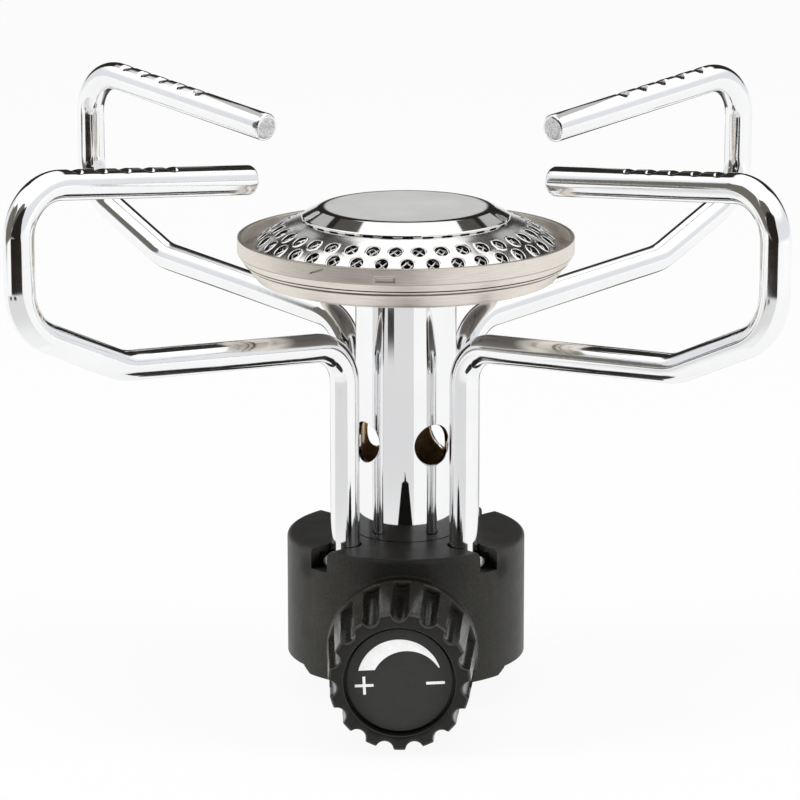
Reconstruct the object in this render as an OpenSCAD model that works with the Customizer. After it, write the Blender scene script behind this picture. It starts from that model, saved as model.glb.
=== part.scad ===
// Canister-top backpacking stove with four swivelling wire pot supports.
// The origin is on the canister thread's axis, at the underside of the base. +Z is up.
// The control knob faces -Y.

/* [Mixing tube and burner] */
// Outside diameter of the mixing tube
tube_d = 15.7; // [14:0.1:18]
// Wall of the mixing tube
tube_wall = 0.8; // [0.5:0.1:1.2]
// Height of the burner pan's underside above the base's underside
burner_z = 60.8; // [52:0.1:72]
// Diameter of one air hole in the mixing tube
air_hole_d = 6.4; // [4:0.1:7]
// Height of the air holes above the deck
air_hole_rise = 15.2; // [9:0.1:22]
// Turn of the four air holes from the diagonals, degrees
air_hole_turn = 9.5; // [-20:0.5:20]
// Outside diameter of the burner rim
rim_d = 52.3; // [48:0.1:60]
// Height of the straight rim band
rim_band = 2.45; // [1.5:0.05:4]
// Height of the tapered shoulder under the rim band
shoulder_h = 1.7; // [1:0.1:3]
// How far the shoulder draws in below the rim band
shoulder_in = 1.1; // [0.6:0.1:2]
// Height of the pan below the crimped seam
pan_h = 2.6; // [2:0.1:5]
// How far the pan's wall draws in from the seam to its bottom edge
pan_in = 1.8; // [0.8:0.1:3]
// Sheet thickness of the pan and rim
sheet_t = 0.6; // [0.4:0.05:0.9]
// Diameter of the flat top of the burner cap
cap_top_d = 26; // [22:0.1:30]
// Diameter of the cap's lower edge
cap_d = 32.6; // [30:0.1:36]
// Height of the cap
cap_h = 1.9; // [1.4:0.05:3]
// Height of the cap's upright lip
cap_lip = 0.42; // [0.3:0.02:0.6]
// Sheet thickness of the cap and the perforated ring
cap_t = 0.5; // [0.3:0.05:0.8]
// Ports in one row
port_count = 36; // [24:1:40]
// Diameter of one port
port_d = 2.05; // [1.2:0.05:2.2]
// Distance between the two port rows, measured outwards
row_pitch = 2.35; // [2.2:0.05:2.8]
// How far the port rows lie outwards from the middle of the ring
row_shift = 0.75; // [0:0.05:0.8]
// Turn of the port rows, degrees
port_turn = -3; // [-5:0.5:5]
// Slits at the cap's lower edge
slit_count = 33; // [24:1:36]
// Turn of the slits, degrees
slit_turn = 2.4; // [-5:0.1:5]
// Width of a slit at the cap's lower edge
slit_w = 1.7; // [0.8:0.1:1.8]
// Height of a slit at the cap's lower edge
slit_h = 0.2; // [0.15:0.05:0.25]
// Slope of the perforated ring at its inner edge, degrees
ring_slope_in = 15; // [10:1:24]
// Slope of the perforated ring at its outer edge, degrees
ring_slope_out = 45; // [38:1:48]
// Width of the flat edge that the perforated ring stands on
ring_foot = 1.1; // [0.8:0.1:1.4]

/* [Base] */
// Height of the base housing
base_h = 20.4; // [19.5:0.1:26]
// Rounding of the deck's edge
base_edge = 0.9; // [0.4:0.1:1.4]
// Outer wall of the housing
base_wall = 2.2; // [1.6:0.1:2.6]
// Plastic between a leg bush and the outside of the base
rim_wall = 2.25; // [1.6:0.05:4]
// Plastic between a leg bush and the valve cavity
leg_web = 0.95; // [0.8:0.05:2]
// How much higher the housing's lower edge stands round the sides and back
edge_lift = 1.1; // [0.6:0.1:1.3]
// Half the part of the lower edge that stays low, degrees from the front
skirt_half = 57; // [45:1:70]
// Slope of the step in the lower edge, degrees
edge_slope = 30; // [20:1:45]
// Thickness of the bottom cover
cover_t = 1.5; // [1.2:0.1:2]
// Width of a deck slot
slot_w = 3.6; // [2.6:0.1:4.4]
// Depth of a deck slot
slot_depth = 3.2; // [3:0.1:4]
// Thickness of the deck over the pin pockets
deck_roof = 0.9; // [0.7:0.1:1.2]
// Cover screws' thread diameter
screw_d = 2; // [1.6:0.1:2.4]
// Cover screws' length
screw_len = 7; // [5:0.5:9]

/* [Pot supports] */
// Wire diameter
wire_d = 4.5; // [4:0.1:5]
// Radius of the lower bend's corner from the stove's axis
run_r = 57.4; // [50:0.1:64]
// Radius of the upright from the stove's axis
upright_r = 76.3; // [70:0.1:90]
// Radius of the wire's free end from the stove's axis
tip_r = 32.1; // [29:0.1:38]
// Height of the corner above the leg
leg_top_z = 52; // [46:0.1:54]
// Height of the lower bend's corner
run_z = 55.9; // [53:0.1:58]
// Height of the upright's lower corner
upright_low_z = 64.4; // [61:0.1:67]
// Height of the upright's upper corner
upright_top_z = 85.1; // [83:0.1:95]
// Height of the wire's free end
tip_z = 80.35; // [78:0.05:83]
// Bend radius above the leg
leg_bend = 6.5; // [5:0.1:9]
// Bend radius of the lower bend
run_bend = 10; // [6:0.1:14]
// Bend radius at the foot of the upright
low_bend = 9; // [6:0.1:10]
// Bend radius at the top of the upright
top_bend = 7; // [5:0.1:9]
// Grip notches on each top run
notch_count = 5; // [3:1:6]
// Spacing of the grip notches
notch_pitch = 4.5; // [3.5:0.1:5]
// Distance from the free end to the nearest notch
notch_start = 16.3; // [10:0.1:17]
// Radius of the tool that presses a notch
notch_tool_r = 1.6; // [1.2:0.1:2]
// Depth of a notch
notch_depth = 0.45; // [0.2:0.05:0.7]
// Swing of a support to each side, degrees
swing = 45; // [30:1:50]
// Diameter of the cross pin in a leg
pin_d = 1.8; // [1.4:0.1:2]
// Reach of the cross pin outwards from the leg's axis
pin_reach = 3.9; // [3.4:0.1:4.2]
// Reach of the cross pin inwards from the leg's axis
pin_tail = 2.7; // [2.6:0.1:3]
// Wall of a leg bush
bush_wall = 1.1; // [0.8:0.1:1.6]
// Thickness of a leg clip
clip_t = 0.6; // [0.5:0.1:0.8]
// Depth of a clip's groove
clip_groove = 0.4; // [0.3:0.05:0.6]

/* [Control knob] */
// Diameter of the knob at its back
knob_back_d = 23.3; // [20:0.1:26]
// Diameter of the knob at its front
knob_front_d = 21.4; // [19:0.1:24]
// Length of the knob
knob_len = 17.9; // [17.2:0.1:22]
// Gap between the base and the knob
knob_gap = 2.25; // [2:0.05:4]
// Smooth flange at the knob's back
knob_flange = 2.9; // [2:0.1:4]
// Number of grip flutes
flute_count = 15; // [12:1:18]
// Radius of a grip flute
flute_r = 1.37; // [1:0.01:1.6]
// How far a flute's centre lies outside the knob's side
flute_out = 0.22; // [0:0.02:0.4]
// Rounding of the knob's front edge
knob_edge = 0.5; // [0.2:0.1:0.8]
// Diameter of the dial disc
disc_d = 16; // [14:0.1:16.4]
// Gap round the dial disc
disc_gap = 0.4; // [0.2:0.05:0.6]
// Thickness of the dial disc
disc_t = 0.8; // [0.6:0.1:1.2]
// How far the dial disc lies below the knob's front face
disc_sink = 1.2; // [0.1:0.1:1.4]
// Thickness of the printed marks
mark_t = 0.06; // [0.04:0.01:0.1]
// Outer radius of the printed wedge
wedge_r = 6.35; // [5.5:0.05:6.8]
// Radius of the circle that cuts the wedge
wedge_cut_r = 5.48; // [5:0.01:5.8]
// Sideways offset of the cutting circle
wedge_cut_x = 1.12; // [0.8:0.01:1.4]
// Drop of the cutting circle
wedge_cut_drop = 0.96; // [0.6:0.01:1.4]
// Height of the wedge's lower edge above the disc's centre
wedge_low = 1.75; // [1:0.05:2.2]
// Length of the plus and minus strokes
sign_len = 2.8; // [2:0.05:3]
// Width of the strokes
sign_w = 0.42; // [0.3:0.02:0.6]
// Distance of the signs from the disc's centre
sign_x = 5.35; // [4.8:0.05:5.8]
// Drop of the signs below the disc's centre
sign_drop = 0.62; // [0:0.02:1]
// Tilt of the printed marks on the disc, degrees
print_tilt = 2.8; // [-6:0.1:6]

/* [Valve and canister thread] */
// Wall radius of the canister thread
thread_r = 5.25; // [5:0.05:5.6]
// Length of the canister thread
thread_len = 6; // [5:0.1:8]
// Wall of the canister collar
collar_wall = 2.35; // [1.8:0.05:2.6]
// Height of the seal's seat above the thread
seal_room = 1.8; // [1.6:0.1:2.2]
// Thickness of the canister seal's ring
seal_d = 1.6; // [1.3:0.1:1.7]
// Height of the valve body
valve_h = 12.1; // [11.5:0.1:12.6]
// Radius of the bonnet's thread
bonnet_thread_r = 2.8; // [2.6:0.1:3.2]
// Metal between the seal's seat and the valve chamber
inlet_wall = 1; // [0.5:0.1:1.2]
// Distance of the valve seat from the stove's axis
seat_y = 4.5; // [4:0.1:4.8]
// Length of the valve chamber
chamber_len = 1.2; // [0.8:0.1:1.6]
// Radius of the seat's orifice
orifice_r = 0.5; // [0.4:0.05:0.6]
// Radius of the spindle
spindle_r = 1.5; // [1.3:0.05:1.6]
// Radius of the spindle's threaded collar
spindle_thread_r = 1.9; // [1.8:0.05:2.1]
// Length of the spindle's threaded collar
spindle_thread_len = 2.7; // [2:0.1:3]
// Travel of the spindle from closed to open
spindle_travel = 1.2; // [0.8:0.1:1.4]
// Radius of the bonnet's nose, which the knob turns on
nose_r = 3.2; // [3:0.05:3.6]
// Width across the flats of the bonnet's hexagon
bonnet_flats = 9; // [8:0.1:11]
// Width across the flats of the jet's hexagon
jet_flats = 7; // [5.5:0.1:8]
// Height of the jet's hexagon
jet_head = 3; // [2:0.1:4]

/* [Clearances] */
// Radial clearance of a turning fit
run_clear = 0.05; // [0.02:0.01:0.09]
// Radial clearance of pieces fixed to each other
seat_clear = 0.02; // [0.01:0.01:0.04]
// Clearance between pieces that pass each other
free_clear = 0.3; // [0.2:0.05:0.4]
// Clearance of pieces dropped into the housing
drop_clear = 0.15; // [0.1:0.05:0.2]

/* [Hidden] */
$fn = 64;
sweep_over = 1;
tube_r = tube_d / 2;
tube_in = tube_r - tube_wall;
wire_r = wire_d / 2;
pin_r = pin_d / 2;

// The base is laid out from the tube outwards.
valve_step = 0.65;
valve_r = tube_r + valve_step;
cavity_r = valve_r + drop_clear;
bush_in = wire_r + run_clear;
bush_r = bush_in + bush_wall;
leg_r = cavity_r + leg_web + bush_r;
base_r = leg_r + bush_r + rim_wall;
pocket_r = base_r - base_wall + 2 * drop_clear;
cover_r = pocket_r - drop_clear;
cavity_wall = 1.4;
step_face = 0.15;
ring_wall_r = cavity_r + cavity_wall;

// Heights in the base.
valve_top = cover_t + valve_h;
foot_gap = 0.5;
foot_end = 0.7;
clip_inset = 0.2;
clip_room = 0.4;
clip_grip = 0.6;
foot_z = cover_t + foot_gap;
clip_z = foot_z + foot_end;
clip_r = bush_r - clip_inset;
bush_low = clip_z + clip_t + free_clear;
slot_floor = base_h - slot_depth;
bush_cover = 1.2;
bush_top = slot_floor - bush_cover;
deck_under = min(valve_top, bush_top);
pocket_top = base_h - deck_roof;
pin_z = (slot_floor + pocket_top) / 2;
boss_wall = 1.6;
boss_r = bush_r + boss_wall;

// The canister thread and the valve.
collar_r = thread_r + collar_wall;
collar_low = cover_t - thread_len;
spigot_wall = 1.4;
spigot_r = thread_r + spigot_wall;
seat_roof = cover_t + seal_room;
port_r = bonnet_thread_r + seat_clear;
spindle_z = seat_roof + inlet_wall + port_r;
inlet_rise = 1.9;
inlet_z = seat_roof + inlet_rise;
probe_r = 1.6;
probe_tip_r = 1.1;
filter_t = 0.5;
jet_spigot_r = 2.55;
jet_spigot = 3.8;
jet_room = 0.2;
tube_seat = 3.4;
tube_seat_wall = 1.4;
seal_seat = 0.65;
seal_press = 0.6;
probe_set_back = 0.2;
feed_r = orifice_r - 0.1;
riser_r = 0.8;
jet_tip_h = 0.8;
jet_tip_r = 1.6;
jet_bore_r = 1.2;
jet_hole_r = 0.3;

// The bonnet, spindle and knob lie along the front axis, measured outwards from the stove's axis.
bonnet_in = seat_y + chamber_len;
pad_proud = 0.5;
pad_margin = 0.9;
pad_y = base_r + pad_proud;
pad_r = bonnet_flats / 2 / cos(30) + pad_margin;
hex_len = 2.4;
neck_wall = 1.2;
neck_r = bonnet_thread_r + neck_wall;
thread_set_back = 0.5;
thread_start = bonnet_in + thread_set_back;
thread_bore_end = thread_start + spindle_thread_len + spindle_travel + free_clear;
packing_wall = 0.6;
packing_room = 1.4;
packing_start = thread_bore_end + packing_wall;
packing_r = spindle_r + packing_room;
packing_ring_r = (packing_r - spindle_r - 2 * run_clear) / 2;
packing_len = 2 * packing_ring_r + free_clear;
knob_y = base_r + knob_gap;
knob_back_r = knob_back_d / 2;
knob_front_r = knob_front_d / 2;
disc_r = disc_d / 2;
disc_seat = knob_len - disc_sink - disc_t;
web_start = 8;
web_len = 2;
clip_play = 0.15;
nose_clip_t = 0.6;
nose_groove = 0.6;
nose_clip_wall = 1.4;
nose_lead = 0.6;
nose_clip_grip = 0.8;
insert_gap = 1;
insert_room = 0.6;
nose_clip_r = nose_r + nose_clip_wall;
nose_len = web_start + web_len + clip_play + nose_clip_t + nose_lead;
insert_start = nose_len + insert_gap;
insert_r = nose_clip_r + insert_room;
// The spindle's flat starts far enough back to stay in the insert over its whole travel.
spindle_end = knob_y + disc_seat - spindle_travel - free_clear;
drive_start = knob_y + insert_start - spindle_travel - free_clear;
drive_cut = 0.5;
needle_len = 1.3;
needle_reach = 0.3;
needle_r = orifice_r + 0.7;
needle_tip_r = orifice_r - 0.3;
drive_flat = spindle_r - drive_cut;
spanner_room = 1.2;
back_edge = 0.3;
edge_steps = 6;
knob_bore_r = bonnet_flats / 2 / cos(30) + spanner_room;
knob_taper = atan((knob_back_r - knob_front_r) / knob_len);

// Heights in the burner.
pan_foot = 1;
pan_foot_h = 0.4;
seam_in = 0.5;
pan_low_r = rim_d / 2 - shoulder_in - pan_in;
seam_r = rim_d / 2 - shoulder_in;
seam_z = burner_z + pan_h;
seam_gap = 0.12;
band_z = seam_z + shoulder_h;
rim_z = band_z + rim_band;
rim_in = rim_d / 2 - sheet_t;
seam_lip = 1.8;
rim_round = 0.15;
rim_ease = 0.1;
shoulder_skew = 0.7 * sheet_t;
seam_skew = 1.6 * sheet_t;
side_skew = 1.2 * sheet_t;
foot_skew = 0.4 * sheet_t;
neck_step = 0.45;
neck_root = 1;
neck_tube_r = tube_r - neck_step;
nut_h = 2;
nut_wall = 3;
nut_r = tube_r + nut_wall;
ledge_w = 0.5;
ledge_drop = 0.05;
ledge_z = band_z - ledge_drop;
ring_edge = rim_in - drop_clear;
ring_out = ring_edge - ring_foot;
cap_lap = 0.1;
ring_in = cap_d / 2 - cap_lap;
ring_flange = 1.8;
ring_arc = (ring_out - ring_in) / (sin(ring_slope_out) - sin(ring_slope_in));
ring_low = ledge_z + cap_t;
ring_drop = ring_arc * (cos(ring_slope_in) - cos(ring_slope_out));
ring_top = ring_low + ring_drop;
gauze_gap = 0.25;
gauze_t = 0.3;
arc_steps = 10;
row_middle = (ring_in + ring_out) / 2 + row_shift;
cap_shoulder = 0.5;
lip_round = 0.15;
lip_wall = 0.6;

// Order of the supports round the stove, as their compass angles.
front_left = 225;
front_right = 315;
back_left = 135;
back_right = 45;
corners = [front_left, front_right, back_left, back_right];
cover_screw_angles = [0, 90, 180];
screw_edge = 0.8;
screw_boss_wall = 1.3;
screw_room = 0.5;
head_sink = 0.1;
driver_slot = 0.5;
cover_screw_r = base_r - base_wall - screw_d - screw_edge;

// A ring or disc between two heights.
module tube_piece(low, high, outer, inner) {
  difference() {
    translate([0, 0, low]) cylinder(h = high - low, r = outer);
    if (inner > 0) translate([0, 0, low - sweep_over]) cylinder(h = high - low + 2 * sweep_over, r = inner);
  }
}

// Puts what is drawn along +Z from the origin onto the knob's axis, pointing out of the front.
module on_front_axis(start) {
  translate([0, -start, spindle_z]) rotate([90, 0, 0]) children();
}

// Puts what is drawn round the origin onto one leg's axis, with +X pointing outwards.
module at_leg(angle) {
  rotate([0, 0, angle]) translate([leg_r, 0, 0]) children();
}

// A straight drilled passage between two points.
module drill(from, to, r) {
  reach = to - from;
  turn = atan2(reach.y, reach.x);
  tilt = atan2(norm([reach.x, reach.y]), reach.z);
  translate(from) rotate([0, tilt, turn]) cylinder(h = norm(reach), r = r);
}

// The space that a leg's cross pin swings in, with the two stops at the ends of its swing.
module pin_pocket() {
  reach = pin_reach + free_clear;
  half = pin_r + free_clear / 2;
  height = pocket_top - slot_floor;
  translate([0, 0, slot_floor]) {
    cylinder(h = height, r = pin_tail + free_clear);
    rotate([0, 0, -swing]) rotate_extrude(angle = 2 * swing) square([reach, height]);
    for (side = [-swing, swing]) rotate([0, 0, side]) {
      translate([0, -half, 0]) cube([reach, 2 * half, height]);
    }
  }
}

module base_outline() {
  square([base_r - base_edge, base_h]);
  square([base_r, base_h - base_edge]);
  translate([base_r - base_edge, base_h - base_edge]) circle(r = base_edge);
}

// The hollow inside the housing, before its bosses are put back.
module base_hollow() {
  difference() {
    tube_piece(cover_t, deck_under, base_r - base_wall, ring_wall_r);
    for (angle = corners) at_leg(angle) cylinder(h = base_h, r = boss_r);
    for (angle = cover_screw_angles) {
      rotate([0, 0, angle]) translate([cover_screw_r, 0, 0]) {
        cylinder(h = base_h, r = screw_d / 2 + screw_boss_wall);
      }
    }
    on_front_axis(0) cylinder(h = base_r, r = pad_r);
  }
}

// What is cut away to raise the lower edge round the sides and back, with a sloping step at each end.
module edge_cut() {
  inner = pocket_r - sweep_over;
  start = edge_lift - step_face;
  wall = base_r - inner + sweep_over;
  reach = edge_lift / sin(edge_slope) + sweep_over;
  rotate([0, 0, skirt_half - 90]) rotate_extrude(angle = 360 - 2 * skirt_half) {
    translate([inner, -sweep_over]) square([wall, edge_lift + sweep_over]);
  }
  for (side = [-1, 1]) rotate([0, 0, side * skirt_half - 90]) {
    translate([inner, 0, start]) rotate([side * edge_slope, 0, 0]) {
      translate([0, side > 0 ? -reach : 0, -edge_lift]) cube([wall, reach, edge_lift]);
    }
  }
}

module base_housing() {
  color([0.12, 0.12, 0.12]) difference() {
    union() {
      rotate_extrude() base_outline();
      on_front_axis(base_r - base_wall) cylinder(h = pad_y - base_r + base_wall, r = pad_r);
    }
    base_hollow();
    edge_cut();
    translate([0, 0, -sweep_over]) cylinder(h = cover_t + sweep_over, r = pocket_r);
    cylinder(h = valve_top, r = cavity_r);
    cylinder(h = base_h + sweep_over, r = tube_r + drop_clear);
    on_front_axis(0) cylinder(h = pad_y + sweep_over, r = neck_r + drop_clear);
    for (angle = corners) at_leg(angle) {
      cylinder(h = bush_low, r = clip_r + clip_room);
      cylinder(h = bush_top, r = bush_r + seat_clear);
      cylinder(h = base_h + sweep_over, r = wire_r + free_clear);
      pin_pocket();
      translate([0, -slot_w / 2, slot_floor]) cube([base_r, slot_w, slot_depth + sweep_over]);
    }
    for (angle = cover_screw_angles) {
      rotate([0, 0, angle]) translate([cover_screw_r, 0, 0]) {
        cylinder(h = screw_len + screw_room, r = screw_d / 2 + seat_clear);
      }
    }
  }
}

module bottom_cover() {
  color([0.14, 0.14, 0.14]) difference() {
    tube_piece(0, cover_t, cover_r, collar_r + drop_clear);
    for (angle = cover_screw_angles) rotate([0, 0, angle]) translate([cover_screw_r, 0, -sweep_over]) {
      cylinder(h = cover_t + 2 * sweep_over, r = screw_d / 2 + drop_clear);
      cylinder(h = cover_t / 2 + sweep_over, r = screw_d + drop_clear);
    }
  }
}

module cover_screws() {
  color("silver") for (angle = cover_screw_angles) rotate([0, 0, angle]) translate([cover_screw_r, 0, 0]) {
    difference() {
      union() {
        cylinder(h = screw_len, r = screw_d / 2);
        translate([0, 0, head_sink]) cylinder(h = cover_t / 2 - head_sink, r = screw_d);
      }
      translate([-screw_d, -driver_slot / 2, 0]) cube([2 * screw_d, driver_slot, driver_slot]);
    }
  }
}

module valve_body() {
  color([0.78, 0.62, 0.3]) difference() {
    union() {
      translate([0, 0, cover_t]) cylinder(h = valve_h, r = valve_r);
      tube_piece(valve_top, valve_top + tube_seat, tube_in - seat_clear, tube_in - tube_seat_wall);
    }
    cylinder(h = seat_roof, r = spigot_r + seat_clear);
    cylinder(h = inlet_z + filter_t, r = probe_r + seat_clear);
    on_front_axis(seat_y) cylinder(h = valve_r, r = port_r);
    drill([0, 0, inlet_z], [0, -seat_y - chamber_len / 2, inlet_z], feed_r);
    on_front_axis(0) cylinder(h = seat_y + sweep_over, r = orifice_r);
    translate([0, 0, spindle_z]) cylinder(h = valve_top - spindle_z, r = riser_r);
    translate([0, 0, valve_top - jet_spigot - jet_room]) {
      cylinder(h = jet_spigot + sweep_over, r = jet_spigot_r + seat_clear);
    }
  }
}

module canister_collar() {
  color([0.82, 0.7, 0.42]) union() {
    tube_piece(collar_low, cover_t, collar_r, thread_r);
    tube_piece(cover_t, seat_roof, spigot_r, thread_r + seal_seat);
  }
}

module canister_seal() {
  ring_r = thread_r + seal_press - seal_d / 2;
  color([0.08, 0.08, 0.08]) translate([0, 0, cover_t + seal_room / 2]) {
    rotate_extrude() translate([ring_r, 0]) circle(r = seal_d / 2);
  }
}

module inlet_probe() {
  tip = cover_t + probe_set_back;
  color([0.85, 0.75, 0.5]) difference() {
    union() {
      translate([0, 0, tip]) cylinder(h = seat_roof - tip, r = probe_tip_r);
      translate([0, 0, seat_roof]) cylinder(h = inlet_z - filter_t - seat_roof, r = probe_r);
    }
    cylinder(h = inlet_z, r = orifice_r);
  }
}

module inlet_filter() {
  color([0.7, 0.6, 0.4]) translate([0, 0, inlet_z - filter_t]) cylinder(h = filter_t / 2, r = probe_r);
}

module gas_jet() {
  low = valve_top - jet_spigot;
  color([0.85, 0.7, 0.35]) difference() {
    union() {
      translate([0, 0, low]) cylinder(h = jet_spigot, r = jet_spigot_r);
      translate([0, 0, valve_top]) cylinder(h = jet_head, r = jet_flats / 2 / cos(30), $fn = 6);
      translate([0, 0, valve_top + jet_head]) cylinder(h = jet_tip_h, r = jet_tip_r);
    }
    translate([0, 0, low - sweep_over]) cylinder(h = jet_spigot + jet_head, r = jet_bore_r);
    cylinder(h = valve_top + jet_head + 2 * sweep_over, r = jet_hole_r);
  }
}

module valve_bonnet() {
  nose_start = pad_y + hex_len;
  nose_end = knob_y + nose_len;
  groove = knob_y + web_start + web_len + clip_play;
  color([0.84, 0.72, 0.42]) difference() {
    union() {
      on_front_axis(bonnet_in) cylinder(h = pad_y - bonnet_in, r = bonnet_thread_r);
      on_front_axis(valve_r + drop_clear) cylinder(h = pad_y - valve_r - drop_clear, r = neck_r);
      on_front_axis(pad_y) cylinder(h = hex_len, r = bonnet_flats / 2 / cos(30), $fn = 6);
      on_front_axis(nose_start) cylinder(h = nose_end - nose_start, r = nose_r);
    }
    on_front_axis(0) cylinder(h = nose_end + sweep_over, r = spindle_r + run_clear);
    on_front_axis(0) cylinder(h = thread_bore_end, r = spindle_thread_r + run_clear);
    on_front_axis(packing_start) cylinder(h = packing_len, r = packing_r);
    on_front_axis(groove) tube_piece(0, nose_clip_t, nose_r + sweep_over, nose_r - nose_groove);
  }
}

module spindle_seal() {
  color([0.08, 0.08, 0.08]) on_front_axis(packing_start + packing_len / 2) {
    rotate_extrude() translate([spindle_r + run_clear + packing_ring_r, 0]) {
      circle(r = packing_ring_r - seat_clear);
    }
  }
}

module knob_clip() {
  start = knob_y + web_start + web_len + clip_play;
  gap = 2 * (nose_r - nose_groove) - nose_clip_grip;
  color("silver") on_front_axis(start + seat_clear) difference() {
    tube_piece(0, nose_clip_t - 2 * seat_clear, nose_clip_r, nose_r - nose_groove + seat_clear);
    translate([-gap / 2, 0, -sweep_over]) cube([gap, nose_clip_r + sweep_over, nose_clip_t + 2 * sweep_over]);
  }
}

module valve_spindle() {
  tip = seat_y - needle_reach;
  body = tip + needle_len;
  color([0.75, 0.76, 0.78]) difference() {
    union() {
      on_front_axis(tip) cylinder(h = needle_len, r1 = needle_tip_r, r2 = needle_r);
      on_front_axis(body) cylinder(h = thread_start - body, r = needle_r);
      on_front_axis(thread_start) cylinder(h = spindle_thread_len, r = spindle_thread_r);
      on_front_axis(thread_start) cylinder(h = spindle_end - thread_start, r = spindle_r);
    }
    on_front_axis(drive_start) translate([-spindle_r, drive_flat, 0]) {
      cube([2 * spindle_r, spindle_r, knob_len]);
    }
  }
}

module mixing_tube() {
  color([0.85, 0.86, 0.88]) difference() {
    union() {
      tube_piece(valve_top, burner_z, tube_r, tube_in);
      tube_piece(burner_z - neck_root, burner_z + sheet_t + nut_h, neck_tube_r, tube_in);
    }
    for (quarter = [0:3]) {
      translate([0, 0, base_h + air_hole_rise]) rotate([0, 0, 90 * quarter + 45 - air_hole_turn]) {
        rotate([0, 90, 0]) cylinder(h = tube_d, r = air_hole_d / 2);
      }
    }
  }
}

module burner_nut() {
  color([0.8, 0.8, 0.8]) difference() {
    translate([0, 0, burner_z + sheet_t]) cylinder(h = nut_h, r = nut_r, $fn = 6);
    cylinder(h = rim_z, r = neck_tube_r + seat_clear);
  }
}

// The pan below the seam, with its lip turned out under the rim.
module burner_pan() {
  color([0.72, 0.71, 0.69]) rotate_extrude() polygon([
    [neck_tube_r + seat_clear, burner_z],
    [pan_low_r - pan_foot, burner_z],
    [pan_low_r, burner_z + pan_foot_h],
    [seam_r - seam_in, seam_z - seam_gap - sheet_t / 2],
    [seam_r - seam_in, seam_z - seam_gap],
    [seam_r - seam_lip, seam_z - seam_gap],
    [seam_r - seam_in - seam_skew, seam_z - seam_gap - sheet_t],
    [pan_low_r - side_skew, burner_z + pan_foot_h + sheet_t],
    [pan_low_r - pan_foot - foot_skew, burner_z + sheet_t],
    [neck_tube_r + seat_clear, burner_z + sheet_t]
  ]);
}

// The rim above the seam, with the ledge that carries the perforated ring.
module burner_rim() {
  color([0.74, 0.73, 0.71]) rotate_extrude() polygon([
    [seam_r - seam_lip, seam_z],
    [seam_r, seam_z],
    [rim_d / 2, band_z],
    [rim_d / 2, rim_z - rim_round],
    [rim_d / 2 - rim_round, rim_z],
    [rim_in + rim_ease, rim_z],
    [rim_in, rim_z - rim_ease],
    [rim_in, ledge_z],
    [rim_in - ledge_w, ledge_z],
    [seam_r - shoulder_skew, seam_z + sheet_t],
    [seam_r - seam_lip, seam_z + sheet_t]
  ]);
}

// Radius and height on the perforated ring's outer face at a slope, set back by a depth.
function ring_point(slope, depth) = [
  ring_in + ring_arc * (sin(slope) - sin(ring_slope_in)) - depth * sin(slope),
  ring_top - ring_arc * (cos(ring_slope_in) - cos(slope)) - depth * cos(slope)
];
function ring_slope_at(r) = asin((r - ring_in) / ring_arc + sin(ring_slope_in));
function ring_slope(step) = ring_slope_in + (ring_slope_out - ring_slope_in) * step / arc_steps;

// A shell that follows the perforated ring between two depths.
module ring_shell(outer_depth, inner_depth) {
  rotate_extrude() polygon(concat(
    [for (step = [0:arc_steps]) ring_point(ring_slope(step), outer_depth)],
    [for (step = [arc_steps:-1:0]) ring_point(ring_slope(step), inner_depth)]
  ));
}

module port_row(r, shift) {
  slope = ring_slope_at(r);
  start = ring_point(slope, 2 * cap_t);
  for (port = [0:port_count - 1]) rotate([0, 0, (port + shift) * 360 / port_count + port_turn]) {
    translate([start.x, 0, start.y]) rotate([0, slope, 0]) cylinder(h = 4 * cap_t, r = port_d / 2, $fn = 16);
  }
}

module burner_ring() {
  flange = ring_point(ring_slope_in, 0);
  color([0.85, 0.85, 0.85]) difference() {
    union() {
      ring_shell(0, cap_t);
      tube_piece(flange.y - cap_t, flange.y, flange.x, flange.x - ring_flange);
      tube_piece(ledge_z, ring_low, ring_edge, ring_out - cap_t / 2);
    }
    port_row(row_middle - row_pitch / 2, 0);
    port_row(row_middle + row_pitch / 2, 0.5);
  }
}

module flame_gauze() {
  color([0.55, 0.53, 0.5]) ring_shell(cap_t + gauze_gap, cap_t + gauze_gap + gauze_t);
}

module burner_cap() {
  low = ring_top;
  high = ring_top + cap_h;
  flat = cap_top_d / 2;
  edge = cap_d / 2 - cap_lap;
  color([0.86, 0.86, 0.87]) difference() {
    rotate_extrude() polygon([
      [0, high],
      [flat, high],
      [flat + cap_shoulder, high - cap_shoulder / 8],
      [flat + 2 * cap_shoulder, high - cap_shoulder / 2],
      [edge - lip_round, low + cap_lip + lip_round],
      [edge, low + cap_lip],
      [edge, low],
      [edge - lip_wall, low],
      [flat + 2 * cap_shoulder, high - cap_shoulder / 2 - cap_t],
      [flat, high - cap_t],
      [0, high - cap_t]
    ]);
    for (slit = [0:slit_count - 1]) rotate([0, 0, slit * 360 / slit_count - 90 + slit_turn]) {
      translate([flat, -slit_w / 2, low - sweep_over]) cube([cap_d, slit_w, sweep_over + slit_h]);
    }
  }
}

module leg_bush(angle) {
  color([0.7, 0.6, 0.4]) at_leg(angle) tube_piece(bush_low, bush_top, bush_r, bush_in);
}

// The wire's corners as radius and height, from the foot of the leg to the free end.
wire_corners = [
  [leg_r, foot_z],
  [leg_r, leg_top_z],
  [run_r, run_z],
  [upright_r, upright_low_z],
  [upright_r, upright_top_z],
  [tip_r, tip_z]
];
wire_bends = [0, leg_bend, run_bend, low_bend, top_bend, 0];
// A bend swells a little as the wire is formed, and each run bites into the bend beside it.
bend_swell = 0.02;
bend_bite = 0.05;

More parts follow.
